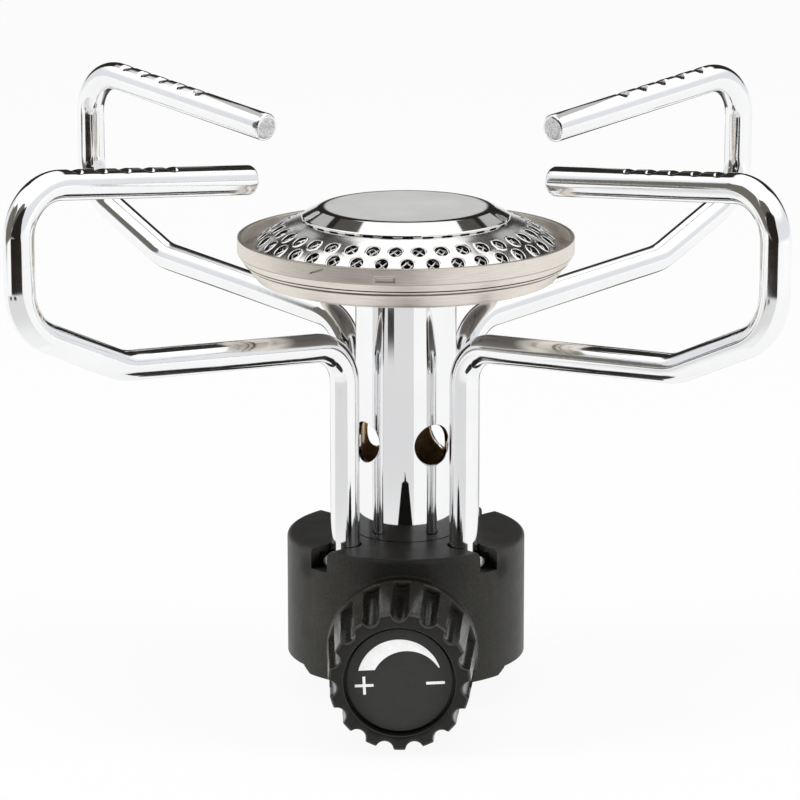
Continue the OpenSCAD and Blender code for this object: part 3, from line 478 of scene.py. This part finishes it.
# a panel's rows run from its edge to the hole, through the hole's rounded lip and back to the edge on the inside.
# each row: share of the way out to the edge, how much wider than the hole, depth in the wall
def tubePanel(spec, turned):
    walk = squareWalk(spec["perSide"])
    edgeX, edgeZ = walk[:, 0] * np.pi / spec["holes"], walk[:, 1] * spec["half"]  # angle and height at the edge
    aim = np.arctan2(edgeZ, edgeX * spec["outer"])
    rows = [(1 - t ** spec["crowd"], 0, 0) for t in np.linspace(0, 1, spec["steps"] + 1)[:-1]]
    rows += [(0, spec["lip"] * (1 - math.sin(a)), spec["lip"] * (1 - math.cos(a)))
             for a in np.linspace(0, math.pi / 2, spec["lipRows"])]
    rows += [(share, wider, spec["wall"] - depth) for share, wider, depth in rows[::-1]]
    share, wider, depth = np.array(rows).T[:, :, None]
    hole = spec["hole"] + wider
    holeX = np.arcsin(np.clip(hole * np.cos(aim) / spec["outer"], -1, 1))
    angle = holeX * (1 - share) + edgeX * share + math.radians(spec["holeTurn"]) + turned
    z = spec["holeZ"] + hole * np.sin(aim) * (1 - share) + edgeZ * share
    radius = spec["outer"] - depth + 0 * angle
    return np.stack([radius * np.cos(angle), radius * np.sin(angle), z], -1)


# (radius, height) points of a plain wall, evenly spaced
def straightWall(radius, first, last, rings):
    return [(radius, height) for height in np.linspace(first, last, rings)]


tubeGrids = []
for number in range(tube["holes"]):
    panel = tubePanel(tube, number * fullTurn / tube["holes"])
    tubeGrids.append((panel, lastStrips(panel, len(panel) // 2 - 1)))
outer, inner = tube["outer"], tube["outer"] - tube["wall"]
panelLow, panelHigh = tube["holeZ"] - tube["half"], tube["holeZ"] + tube["half"]
shoulder = [(outer - tube["topEdge"], tube["high"]), (tube["neck"], tube["high"]), (tube["neck"], tube["neckTop"]),
            (inner, tube["neckTop"])]
tubeWalls = [  # outline, whether it has the inside's finish
    ([(inner, tube["low"]), (outer, tube["low"])], True),
    (straightWall(outer, tube["low"], panelLow, tube["lowRings"]), False),
    (straightWall(outer, panelHigh, tube["high"] - tube["topEdge"], tube["highRings"]) + shoulder, False),
    (straightWall(inner, tube["neckTop"], panelHigh, tube["innerRings"]), True),
    (straightWall(inner, panelLow, tube["low"], tube["lowRings"]), True)]
panelStart = math.radians(tube["holeTurn"]) - np.pi / tube["holes"]
for outline, isInside in tubeWalls:
    wall = revolved(outline, tube["holes"] * tube["perSide"], panelStart)
    tubeGrids.append((wall, np.full(len(wall) - 1, isInside)))
tubePoints, tubeFaces, tubeInner = joinGrids(tubeGrids)
addPiece("tube_with_air_holes", tubePoints, tubeFaces, "chrome_tube", "stove", ["mixing_tube"], hard=35,
         inside=(tubeInside, tubeInner))
print("mixing tube made")

# burner pan: a rounded sheet outline carried round the axis. The edges that face the chamber's middle take a
# near-black painted shade finish
pan = {"outline": [(7.42, 60.8), (22.45, 60.8), (23.3, 61.15), (24.55, 62.95), (24.55, 63.28), (23.3, 63.28),
                   (23.1, 62.8), (22.3, 61.6), (22.0, 61.4), (7.42, 61.4)],
       "bends": [0.05, 0.7, 0.9, 0.25, 0.1, 0.1, 0.3, 0.5, 0.4, 0.05], "turns": 360, "chamber": (15.0, 61.8)}
panLine = roundedLoop(pan["outline"], pan["bends"])
panAhead = np.roll(panLine, -1, 0)
panWay, panToChamber = panAhead - panLine, np.array(pan["chamber"]) - (panLine + panAhead) / 2
panFacing = panWay[:, 0] * panToChamber[:, 1] - panWay[:, 1] * panToChamber[:, 0] < 0
addPiece("pan_pressing", revolved(panLine, pan["turns"]), gridFaces(len(panLine), pan["turns"], True, True),
         "burner_stainless", "stove", ["burner_pan"], hard=50,
         inside=(burnerInsideShade, np.repeat(panFacing, pan["turns"])))

# rim: a second sheet outline, with staking marks pressed into its band. A stake takes depth * exp(-(u / length)^16 -
# (v / height)^8) from the radius, u and v being measured along the band and up from the stake's slanted middle
rim = {"outline": [(23.3, 63.4), (25.05, 63.4), (26.15, 65.1), (26.15, 67.55), (25.55, 67.55), (25.55, 65.05),
                   (25.05, 65.05), (24.63, 64.0), (23.3, 64.0)],
       "bends": [0.05, 0.22, 0.3, 0.22, 0.2, 0.05, 0.05, 0.2, 0.05], "band": 26.15, "hair": 0.001,
       "bandReach": 0.3, "shadeReach": 0.45, "rowStep": 0.25, "bandStep": 0.06, "squareness": (16, 8),
       "closeFrom": -124, "closeTo": -92, "closeStep": 0.12, "step": 1.0, "insideR": 25.3, "insideZ": 63.7}
stakes = [(-119.6, 66.45, 1.1, 0.11, 0.36, 0.3),  # compass angle, height, half length, half height, slant, depth
          (-95.6, 65.85, 1.5, 0.42, 0.0, 0.2), (-95.6, 65.45, 1.5, 0.1, 0.0, 0.2)]
rimLine = roundedLoop(rim["outline"], rim["bends"])
spots = lengthAlong(rimLine)
onBand = spots[rimLine[:, 0] > rim["band"] - rim["hair"]]
fine = np.unique(np.concatenate([spots, np.arange(0, spots[-1], rim["rowStep"]),
                                 np.arange(onBand.min(), onBand.max(), rim["bandStep"])]))
rimR, rimZ = (np.interp(fine, spots, values) for values in rimLine.T)
# the rim's inner faces take the painted shade finish of the burner's inside
rimInner = (rimR < rim["insideR"]) & (rimZ > rim["insideZ"])
rimR, rimZ = rimR[:, None], rimZ[:, None]
rimAngle = np.radians(np.concatenate([  # close columns where the stakes are
    np.arange(rim["closeFrom"], rim["closeTo"], rim["closeStep"]),
    np.arange(rim["closeTo"], rim["closeFrom"] + 360 - rim["closeStep"], rim["step"])]))
dent = pressed = 0 * rimR * rimAngle
for compass, middle, length, height, slant, depth in stakes:
    u = ((rimAngle - math.radians(compass) + np.pi) % fullTurn - np.pi) * rim["band"]
    v = rimZ - middle - slant * u
    stamp = np.exp(-(u / length) ** rim["squareness"][0] - (v / height) ** rim["squareness"][1])
    dent = np.maximum(dent, depth * stamp)
    # painted shade tag, strongest along each stake's pressed edge
    pressed = np.maximum(pressed, 4 * stamp * (1 - stamp))
rimR = rimR - dent * (rimR > rim["band"] - rim["bandReach"])
rimShape = np.stack([rimR * np.cos(rimAngle), rimR * np.sin(rimAngle), rimZ + 0 * rimR], -1)
addPiece("rim_pressing", rimShape, gridFaces(*rimShape.shape[:2], True, True), "burner_stainless", "stove",
         ["burner_rim"], hard=50, tags=pressed * (rimR > rim["band"] - rim["shadeReach"]),
         inside=(burnerInsideShade, np.repeat(rimInner, len(rimAngle))))
print("burner pan and rim made")

# perforated ring: a sheet whose slope grows from its inner to its outer edge along an arc, with two rows of punched
# ports and plain bands inside and outside them. A row of ports: low, middle and high radius, turn in ports.
# A band's points: radius, depth under the upper face. The foot is (radius, height)
ports = {"inR": 16.2, "outR": 24.3, "topZ": 70.227, "slopeIn": 15.0, "slopeOut": 45.0, "sheet": 0.28,
         "count": 36, "turn": -3.0, "half": (0.97, 1.12), "perArc": 10, "perRun": 7, "burr": 0.1,
         "rows": [(18.2, 19.825, 21.05, 0.0), (21.05, 22.175, 23.6, 0.5)],
         "innerBand": [(18.2, 0.28), (17.2, 0.28), (16.2, 0.28), (16.2, 0.14), (16.2, 0), (17.2, 0), (18.2, 0)],
         "outerBand": [(23.6, 0), (23.95, 0), (24.25, 0)], "outerUnder": [(24.3, 0.28), (23.95, 0.28), (23.6, 0.28)],
         "foot": [(25.3, 65.55), (25.4, 65.45), (25.4, 65.05), (24.05, 65.05)],
         "cellUnder": 5, "bandUnder": 2}  # strips on the underside, which take the near-black painted shade finish
sinIn, sinOut = math.sin(math.radians(ports["slopeIn"])), math.sin(math.radians(ports["slopeOut"]))
cosIn = math.cos(math.radians(ports["slopeIn"]))
ringArc = (ports["outR"] - ports["inR"]) / (sinOut - sinIn)


# sine and cosine of the ring's slope at a radius
def ringSlope(radius):
    lean = (radius - ports["inR"]) / ringArc + sinIn
    return lean, np.sqrt(1 - lean ** 2)


# point on the ring: height from the arc, moved back along the normal by the depth
def onRing(radius, angle, depth):
    lean, level = ringSlope(radius)
    z = ports["topZ"] - ringArc * (cosIn - level)
    r = radius - depth * lean
    return np.stack([r * np.cos(angle), r * np.sin(angle), z - depth * level], -1)


# a port's cell runs from its edge to the port, through the burred lip, and back on the underside.
# each row of it: share of the way out to the edge, how much wider than the port, depth under the upper face
def portCells(low, middle, high, shift):
    flat = np.linspace(-1, 1, ports["perArc"] + 1)[:-1]
    run = np.linspace(low, high, ports["perRun"] + 1)
    half = np.pi / ports["count"]
    short, long = np.ones(ports["perRun"]), np.ones(ports["perArc"])
    edgeA = np.concatenate([flat, short, -flat, -short]) * half
    edgeR = np.concatenate([low * long, run[:-1], high * long, run[:0:-1]])
    level = ringSlope(middle)[1]
    aim = np.arctan2((edgeR - middle) / level, edgeA * middle)
    burr, sheet = ports["burr"], ports["sheet"]
    rows = [(1, 0, 0), (0.72, 0, 0), (0.48, 0, 0),
            (0, 0.34, 0), (0, 0.26, -0.25 * burr), (0, 0.17, -0.9 * burr), (0, 0.1, -burr), (0, 0.04, -0.75 * burr),
            (0, 0, 0), (0, 0, sheet / 2), (0, 0, sheet - 0.03), (0, 0.05, sheet), (0.3, 0, sheet), (1, 0, sheet)]
    share, wider, depth = np.array(rows).T[:, :, None]
    across, down = ports["half"][0] + wider, ports["half"][1] + wider
    a = across * np.cos(aim) / middle * (1 - share) + edgeA * share
    r = (middle + down * np.sin(aim) * level) * (1 - share) + edgeR * share
    turns = ((np.arange(ports["count"]) + shift) * 2 * half + math.radians(ports["turn"]))[:, None, None]
    return onRing(r + 0 * turns, a + turns, depth + 0 * (a + turns))


ringGrids = []
for row in ports["rows"]:
    ringGrids += [(cell, lastStrips(cell, ports["cellUnder"])) for cell in portCells(*row)]
ringTurns = ports["count"] * ports["perArc"]
ringStart = -np.pi / ports["count"]
ringAngle = ringStart + np.arange(ringTurns) / ringTurns * fullTurn


# a band's (radius, depth) points carried all the way round on the ring
def ringBand(band):
    radius, depth = np.array(band, float).T[:, :, None]
    return onRing(radius + 0 * ringAngle, ringAngle + 0 * radius, depth + 0 * ringAngle)


innerBand = ringBand(ports["innerBand"])
outerBand = np.concatenate([ringBand(ports["outerBand"]), revolved(ports["foot"], ringTurns, ringStart),
                            ringBand(ports["outerUnder"])])
ringGrids.append((innerBand, np.arange(len(innerBand) - 1) < ports["bandUnder"]))
ringGrids.append((outerBand, np.zeros(len(outerBand) - 1, bool)))
ringPoints, ringFaces, ringInner = joinGrids(ringGrids)
addPiece("perforated_ring", ringPoints, ringFaces, "polished_stainless", "stove", ["burner_ring"], hard=50,
         inside=(burnerInsideShade, ringInner))

# gauze under the ring: two families of wires that cross, each wire turning by slant as it goes outwards
gauze = {"depth": 0.44, "wire": 0.15, "sides": 4, "wires": 92, "steps": 9, "from": 16.6, "to": 23.9, "weave": 0.12,
         "slant": 0.36}


# a wire's section lies in the plane of the ring's normal and the way across the wire
def gauzeFamily(spec, way, depth):
    share = np.linspace(0, 1, spec["steps"])[None]
    angle = np.arange(spec["wires"])[:, None] / spec["wires"] * fullTurn + way * spec["slant"] * share
    radius = spec["from"] + (spec["to"] - spec["from"]) * share + 0 * angle
    path = onRing(radius, angle, depth)
    lean, level = ringSlope(radius)
    normal = np.stack([lean * np.cos(angle), lean * np.sin(angle), level], -1)
    ahead = np.gradient(path, axis=1)
    across = np.cross(normal, ahead / np.linalg.norm(ahead, axis=-1, keepdims=True))
    around = np.arange(spec["sides"])[:, None] / spec["sides"] * fullTurn
    return path[..., None, :] + spec["wire"] * (
        np.cos(around) * normal[..., None, :] + np.sin(around) * across[..., None, :])


gauzePoints = np.concatenate([gauzeFamily(gauze, -1, gauze["depth"]),
                              gauzeFamily(gauze, 1, gauze["depth"] + gauze["weave"])])
perWire = gauze["steps"] * gauze["sides"]
wireTips = [[0, 1, 2, 3], [perWire - 1, perWire - 2, perWire - 3, perWire - 4]]
oneWire = np.concatenate([gridFaces(gauze["steps"], gauze["sides"], closeCols=True), wireTips])
gauzeFaces = (oneWire[None] + np.arange(len(gauzePoints))[:, None, None] * perWire).reshape(-1, 4)
addPiece("gauze_weave", gauzePoints, gauzeFaces, "gauze_steel", "stove", ["flame_gauze"], hard=180)

# cap: a shallow rounded disc whose lower edge is lifted at each slit. The outline's heights are above low
cap = {"low": 70.227, "edge": 16.2, "turns": 1320, "perBend": 8, "topStep": 2.3, "topRings": 5,
       "outline": [(0, 1.9), (13.45, 1.9), (16.06, 0.54), (16.2, 0.36), (16.2, 0), (15.6, 0), (14.0, 1.15),
                   (13.0, 1.4), (0, 1.4)],
       "bends": [0, 2.0, 0.15, 0.1, 0.04, 0.04, 0.4, 0.6, 0],
       "slits": 33, "slitTurn": 2.4, "slit": 1.7, "slitUp": 0.2, "slitSoft": 0.03, "slitFrom": 15}
capLine, _ = roundedLine(np.array(cap["outline"]) + [0, cap["low"]], cap["bends"], cap["perBend"])
capTop = np.stack([np.arange(cap["topRings"]) * cap["topStep"], np.full(cap["topRings"], capLine[0, 1])], 1)
capLine = np.concatenate([capTop, capLine[1:]])
capShape = revolved(capLine, cap["turns"])
capX, capY, capZ = np.moveaxis(capShape, -1, 0)
slitApart = fullTurn / cap["slits"]
slitPlace = (np.arctan2(capY, capX) + np.pi / 2 - math.radians(cap["slitTurn"])) / slitApart
fromSlit = np.abs((slitPlace + 0.5) % 1 - 0.5) * slitApart * cap["edge"]  # distance from a slit's middle
window = 1 / (1 + np.exp((fromSlit - cap["slit"] / 2) / cap["slitSoft"]))
lifted = cap["low"] + cap["slitUp"] * window * (np.hypot(capX, capY) > cap["slitFrom"])
capShape[..., 2] = np.maximum(capZ, lifted)
capPiece = addPiece("cap_pressing", capShape, gridFaces(len(capLine), cap["turns"], closeCols=True),
                    "polished_stainless", "stove", ["burner_cap"], hard=50)
capPiece.data.materials[0] = capFinish
print("burner ring, gauze and cap made")

# control knob: radius as a function of the angle and the place along a closed outline. A flute is a round groove
# whose centre lies just outside the tapered side: it takes R cos(a) - sqrt(groove^2 - (R sin(a))^2) where that is
# less than R. step rows stand round the flange's shoulder: place from it, share of the flute, wear
knob = {"back": -20.9, "height": 7.12, "length": 17.9, "backR": 11.65, "frontR": 10.7, "flange": 2.9,
        "flutes": 15, "groove": 1.367, "out": 0.22, "soften": 0.1, "perFlute": 48, "clear": 0.3,
        "edge": 0.45, "edgeRows": 7, "backEdge": 0.35, "backRows": 6, "backFlat": 10.9, "boreEdge": 0.2,
        "flangeRows": (0.9, 1.6, 2.2), "sideFrom": 0.7, "sideRows": 14, "discR": 8.4, "discEdge": 0.2,
        "discWorn": 0.06, "seat": 15.9, "bore": 6.4, "web": 8.0, "webEnd": 10.0, "nose": 3.25, "insert": 5.2,
        "step": [(-0.2, 0, 0.6), (-0.07, 0.02, 1), (0, 0.15, 0.8), (0.03, 0.6, 0), (0.1, 0.92, 0), (0.25, 1, 0)],
        "ridgeWear": 0.55, "ridgeWidth": 0.12, "ridgeInset": 0.3}


def knobShape(spec):
    length, edge, flange, backEdge = spec["length"], spec["edge"], spec["flange"], spec["backEdge"]

    def side(w):
        return spec["backR"] - (spec["backR"] - spec["frontR"]) * w / length

    def plain(*spots):
        return [(w, r, 0, 0, 0) for w, r in spots]

    # place along the axis, radius on the plain body, share of the flute, inset from the fluted outline, wear
    rows = plain((spec["web"], spec["nose"]), (spec["web"], spec["bore"]), (spec["boreEdge"], spec["bore"]),
                 (0, spec["bore"] + spec["boreEdge"]), (0, spec["backFlat"]))
    rows += [(backEdge * (1 - math.cos(a)), spec["backR"] - backEdge * (1 - math.sin(a)), 0, 0, math.sin(a))
             for a in np.linspace(0.05, math.pi / 2, spec["backRows"])]
    rows += plain(*[(w, side(w)) for w in spec["flangeRows"]])
    rows += [(flange + past, side(flange), share, 0, worn) for past, share, worn in spec["step"]]
    rows += [(w, side(w), 1, 0, 0) for w in np.linspace(flange + spec["sideFrom"], length - edge, spec["sideRows"])]
    rows += [(length - edge * (1 - math.sin(a)), spec["frontR"], 1, edge * (1 - math.cos(a)), math.sin(2 * a))
             for a in np.linspace(0.25, math.pi / 2, spec["edgeRows"])]
    rows += plain((length, spec["discR"] + spec["discEdge"]))
    rows += [(length - spec["discWorn"], spec["discR"] + spec["discWorn"], 0, 0, 0.5)]
    rows += plain((length - spec["discEdge"], spec["discR"]), (spec["seat"], spec["discR"]),
                  (spec["seat"], spec["insert"]), (spec["webEnd"], spec["insert"]), (spec["webEnd"], spec["nose"]))
    w, radius, share, inset, worn = np.array(rows).T[:, :, None]
    columns = spec["flutes"] * spec["perFlute"]
    angle = np.arange(columns)[None] / columns * fullTurn
    apart = fullTurn / spec["flutes"]
    near = ((angle / apart + 0.5) % 1 - 0.5) * apart  # angle from the nearest flute's middle
    centre = radius + spec["out"]
    within = spec["groove"] ** 2 - (centre * np.sin(near)) ** 2
    cut = np.where(within > 0, centre * np.cos(near) - np.sqrt(np.maximum(within, 0)), radius + spec["clear"])
    grooved = softMin(radius, cut, spec["soften"]) * share + radius * (1 - share)
    r = grooved - inset
    onRidge = np.exp(-((radius - grooved) / spec["ridgeWidth"]) ** 2) * share * (inset < spec["ridgeInset"])
    points = np.stack([r * np.sin(angle), spec["back"] - w + 0 * r, spec["height"] + r * np.cos(angle)], -1)
    return points, np.clip(worn + spec["ridgeWear"] * onRidge, 0, 1)


knobPoints, knobWear = knobShape(knob)
addPiece("knob_moulding", knobPoints, gridFaces(*knobPoints.shape[:2], True, True), "black_knob", "knob",
         ["control_knob"], hard=45, tags=knobWear)

# dial disc: a thin rounded plate with a narrow gap round it
disc = {"radius": 8.0, "thick": 0.8, "face": 16.7, "soften": 0.12, "backSoften": 0.05, "turns": 180}
discLine, _ = roundedLine([(0, 0), (disc["radius"], 0), (disc["radius"], disc["thick"]), (0, disc["thick"])],
                          [0, disc["backSoften"], disc["soften"], 0])
discX, discY, discZ = np.moveaxis(revolved(discLine, disc["turns"]), -1, 0)
discShape = np.stack([discX, knob["back"] - disc["face"] + disc["thick"] - discZ, knob["height"] + discY], -1)
addPiece("dial_plate", discShape, gridFaces(*discShape.shape[:2], closeCols=True), "dial_grey", "knob", ["knob_disc"])
print("knob and dial made")

# base housing: the CAD solid's own mesh with its points merged, flat faces joined and edges softened
housing = {"edge": 0.22, "steps": 2, "doubles": 2e-6, "flat": 0.6, "sharp": 35}
copied = cadNodes["base_housing"].data.copy()
work = bmesh.new()
work.from_mesh(copied)
bmesh.ops.remove_doubles(work, verts=work.verts, dist=housing["doubles"])
bmesh.ops.dissolve_limit(work, angle_limit=math.radians(housing["flat"]), verts=work.verts, edges=work.edges)
work.to_mesh(copied)
work.free()
copied.materials.clear()
copied.materials.append(finishes["black_nylon"])
smoothShaded(copied, housing["sharp"])
shell = addObject("housing_moulding", copied)
soften = shell.modifiers.new("soft edges", "BEVEL")
soften.width, soften.segments = housing["edge"] * mm, housing["steps"]
soften.limit_method, soften.angle_limit = "ANGLE", math.radians(housing["sharp"])
soften.harden_normals = True
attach(shell, "stove")
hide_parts("base_housing")
print("housing made")

# canister thread: a ridge carried up inside the collar along a helix. Its crest rises out of the wall over half a
# turn, from the share start. root and flat are half widths at the wall and at the crest
thread = {"pitch": 0.907, "wall": 5.3, "crest": 5.07, "root": 0.36, "flat": 0.08, "margin": 0.7, "length": 6.0,
          "perTurn": 72, "start": 0.05}
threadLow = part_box("canister_collar")[0].z / mm + thread["margin"]
threadTurns = (thread["length"] - 2 * thread["margin"]) / thread["pitch"]
walked = np.linspace(0, threadTurns, int(threadTurns * thread["perTurn"]))[:, None]  # in turns
risen = np.clip(2 * np.minimum(walked, threadTurns - walked), thread["start"], 1)
threadR = thread["wall"] - (thread["wall"] - thread["crest"]) * risen * np.array([0, 1, 1, 0])
threadZ = threadLow + thread["pitch"] * walked + np.array(
    [-thread["root"], -thread["flat"], thread["flat"], thread["root"]])
ridge = np.stack([threadR * np.cos(fullTurn * walked), threadR * np.sin(fullTurn * walked), threadZ], -1)
last = ridge.shape[0] * ridge.shape[1] - 1
ridgeTips = [[0, 1, 2, 3], [last, last - 1, last - 2, last - 3]]
ridgeFaces = np.concatenate([gridFaces(*ridge.shape[:2], closeCols=True), ridgeTips])
addPiece("canister_thread_ridge", ridge, ridgeFaces, "valve_brass", "stove", hard=50)
print("canister thread made")

# finishes on the CAD solids that stay in sight
kept = {
    "bottom_cover": "black_nylon", "cover_screws": "zinc_steel", "valve_body": "valve_brass",
    "canister_collar": "valve_brass", "canister_seal": "nitrile", "inlet_probe": "valve_brass",
    "inlet_filter": "filter_bronze", "gas_jet": "valve_brass", "valve_bonnet": "valve_brass",
    "spindle_seal": "nitrile", "knob_clip": "zinc_steel", "burner_nut": "zinc_steel",
    "valve_spindle": "zinc_steel", "knob_insert": "valve_brass", "dial_marks": "dial_white"}
for corner in corners:
    kept["leg_bush_" + corner], kept["leg_clip_" + corner] = "valve_brass", "zinc_steel"
for name, finish in kept.items():
    for place in cadNodes[name].material_slots:
        place.material = finishes[finish]
print("finishes put on", len(kept), "CAD solids")

# floor: pale, lit by the lamps. The camera and mirror rays see it as white with a faint shadow
stage = {"floorZ": -5.0, "floorR": 4000, "sides": 96, "colour": (0.96, 0.96, 0.96), "shadow": 0.1}


def floorMaterial(name):
    material, tree = emptyMaterial(name)
    rays = addNode(tree, "LightPath").outputs
    seen = calc(tree, "MAXIMUM", rays["Is Camera Ray"], rays["Is Glossy Ray"])
    seen = calc(tree, "MAXIMUM", seen, rays["Is Transmission Ray"])
    share = calc(tree, "MULTIPLY", seen, 1 - stage["shadow"])
    matte = addNode(tree, "BsdfDiffuse", {"Color": opaque(stage["colour"])}).outputs[0]
    white = addNode(tree, "Emission", {"Color": (1, 1, 1, 1), "Strength": 1.0}).outputs[0]
    addNode(tree, "OutputMaterial", {0: addNode(tree, "MixShader", {0: share, 1: matte, 2: white}).outputs[0]})
    return material


# one flat face through the points
def flatCard(name, points, material):
    mesh = bpy.data.meshes.new(name)
    mesh.from_pydata((np.array(points, float) * mm).tolist(), [], [list(range(len(points)))])
    mesh.materials.append(material)
    card = addObject(name, mesh)
    return card


flatCard("floor", revolved([(stage["floorR"], stage["floorZ"])], stage["sides"])[0], floorMaterial("pale floor"))


# studio cards that only mirrors see. A shade is plain, or changes to a second one between two distances
def cardMaterial(name, shade, fade=None):
    material, tree = emptyMaterial(name)
    colour = opaque(shade)
    if fade:
        near, far, second = fade
        place = addNode(tree, "TexCoord").outputs["Object"]
        away = addNode(tree, "VectorMath", {0: place}, operation="LENGTH").outputs["Value"]
        colour = mixColour(tree, spread(tree, away, 0, 1, near * mm, far * mm, "SMOOTHSTEP"), shade, second)
    addNode(tree, "OutputMaterial", {0: addNode(tree, "Emission", {"Color": colour, "Strength": 1.0}).outputs[0]})
    return material


# a sector of the floor between two compass turns from the front, positive to the right, and two distances
def floorSector(first, last, near, far, height=-4.9, steps=12):
    angle = np.radians(np.linspace(first, last, steps))
    outer, inner = ([(r * math.sin(a), -r * math.cos(a), height) for a in angle] for r in (far, near))
    return outer + inner[::-1]


paleGrey, midGrey, capFar = (0.93, 0.93, 0.93), (0.75, 0.75, 0.755), (0.55, 0.55, 0.54)
capFlank, shadeGrey, black = (0.1, 0.095, 0.085), (0.03, 0.028, 0.025), (0.02, 0.016, 0.013)
cards = {  # outline, shade, and what it fades to
    # on the floor: grey in front with two dark streaks at its edge, a dark field further out, a dark strip behind
    "card_floor_grey": (floorSector(-80, 19, 70, 310), paleGrey, (85, 150, midGrey)),
    "card_floor_streak": (floorSector(-40, -25, 236, 300, -4.8), midGrey, (240, 268, shadeGrey)),
    "card_floor_edge": (floorSector(-64, -52, 236, 300, -4.8), midGrey, (240, 268, shadeGrey)),
    "card_floor_back": ([(-70, 95, -4.9), (70, 95, -4.9), (110, 520, -4.9), (-110, 520, -4.9)],
                        (0.5, 0.49, 0.475), (100, 150, (0.07, 0.067, 0.06))),
    "card_floor_far": (floorSector(-52, 18, 310, 1100), midGrey, (310, 345, black)),
    # standing in front: a broad dark card, and a brown one above it
    "card_figure": ([(-1250, -980, -4), (370, -1050, -4), (250, -1050, 380), (310, -1050, 760), (60, -1050, 820),
                     (-420, -980, 640), (-900, -920, 300)], black),
    "card_high": ([(-1250, -1010, 250), (60, -1080, 800), (-100, -1080, 1150), (-420, -1010, 1250),
                   (-900, -950, 1050)], (0.12, 0.11, 0.095)),
    # over the knob, for the dark patch that the tube shows
    "card_knob": ([(-5.8, -20.3, 17.4), (5.8, -20.3, 17.4), (2.2, -20.3, 26.6), (0.6, -20.3, 27), (0, -20.3, 28.6),
                   (-0.6, -20.3, 27), (-2.2, -20.3, 26.6)], (0.006, 0.006, 0.005)),
    # standing on the left, brown
    "card_left_front": ([(-450, -60, -4.9), (-1000, -900, -4.9), (-1000, -900, 1100), (-800, -600, 900),
                         (-520, -160, 560), (-450, -60, 340)], (0.16, 0.15, 0.13)),
    "card_left": ([(-450, 15, -4.9), (-450, -60, -4.9), (-450, -60, 340), (-450, 15, 340)], (0.15, 0.145, 0.125)),
    # above the burner, for the flanks of the cap's bevel
    "card_cap_left": ([(-17, 26, 115), (-28, 4, 124), (-39, 20, 114), (-25, 34, 108)], capFlank),
    "card_cap_right": ([(19, 29, 113), (32, 9, 122), (38, 24, 113), (24, 36, 107)], capFlank),
    "card_cap_far_left": ([(-27, 38, 104), (-38, 27, 110), (-37, 43, 96), (-28, 47, 95)], capFar),
    "card_cap_far_right": ([(25, 39, 103), (37, 29, 109), (35, 46, 95), (26, 49, 94)], capFar),
}
for name, (points, *tones) in cards.items():
    card = flatCard(name, points, cardMaterial(name, *tones))
    card.visible_camera = card.visible_diffuse = card.visible_shadow = card.visible_transmission = False

# world: white to the camera. Everything else sees a bright room with a dark opening at the back: it reaches from just
# above the floor to where z = top * y + flare * |x|, and to |x| = wide * y on either side. soft are its edges' widths
room = {"bright": (1.35, 1.35, 1.35), "brightFrom": (0.35, 0.75), "side": (0.8, 0.815, 0.84),
        "dark": (0.024, 0.022, 0.019), "foot": 0.09, "top": 0.65, "flare": 1.0, "wide": 1.05,
        "soft": (0.03, 0.06, 0.05), "fill": 0.45}
scene.world = bpy.data.worlds.new("studio")
scene.world.use_nodes = True
tree = scene.world.node_tree
tree.nodes.clear()
x, y, z = addNode(tree, "SeparateXYZ", {0: addNode(tree, "TexCoord").outputs["Generated"]}).outputs
out = calc(tree, "ABSOLUTE", x)
roof = calc(tree, "ADD", calc(tree, "MULTIPLY", y, room["top"]), calc(tree, "MULTIPLY", out, room["flare"]))
aboveFoot = calc(tree, "SUBTRACT", z, calc(tree, "MULTIPLY", y, room["foot"]))
underRoof = calc(tree, "SUBTRACT", roof, z)
betweenSides = calc(tree, "SUBTRACT", calc(tree, "MULTIPLY", y, room["wide"]), out)
above, under, between = (spread(tree, value, 0, 1, -soft, soft, "SMOOTHSTEP")
                         for value, soft in zip((aboveFoot, underRoof, betweenSides), room["soft"]))
opening = calc(tree, "MULTIPLY", calc(tree, "MULTIPLY", above, under), between)
walls = mixColour(tree, spread(tree, z, 0, 1, *room["brightFrom"], "SMOOTHSTEP"), room["side"], room["bright"])
walls = mixColour(tree, opening, walls, room["dark"])
rays = addNode(tree, "LightPath").outputs
strength = spread(tree, rays["Is Glossy Ray"], room["fill"], 1.0, 0, 1)
studio = addNode(tree, "Background", {"Color": walls, "Strength": strength}).outputs[0]
clear = addNode(tree, "Background", {"Color": (1, 1, 1, 1), "Strength": 1.0}).outputs[0]
shown = addNode(tree, "MixShader", {0: rays["Is Camera Ray"], 1: studio, 2: clear}).outputs[0]
addNode(tree, "OutputWorld", {0: shown})

# soft lamps: place, size in metres and power. They all point at the stove's middle
lampAim = Vector((0, 0, 0.04))
lamps = {
    "lamp_over": ((0.05, -0.1, 0.95), 0.9, 1.0),
    "lamp_left": ((-1.02, -0.38, 0.3), 0.6, 12.0),
    "lamp_right": ((1.03, -0.35, 0.3), 0.6, 10.0),
}
for name, (spot, size, power) in lamps.items():
    lamp = addObject(name, bpy.data.lights.new(name, "AREA"))
    lamp.data.size, lamp.data.energy = size, power
    lamp.visible_glossy = False
    lamp.location = spot
    lamp.rotation_euler = (lampAim - Vector(spot)).to_track_quat("-Z", "Y").to_euler()
print("stage and lamps set")
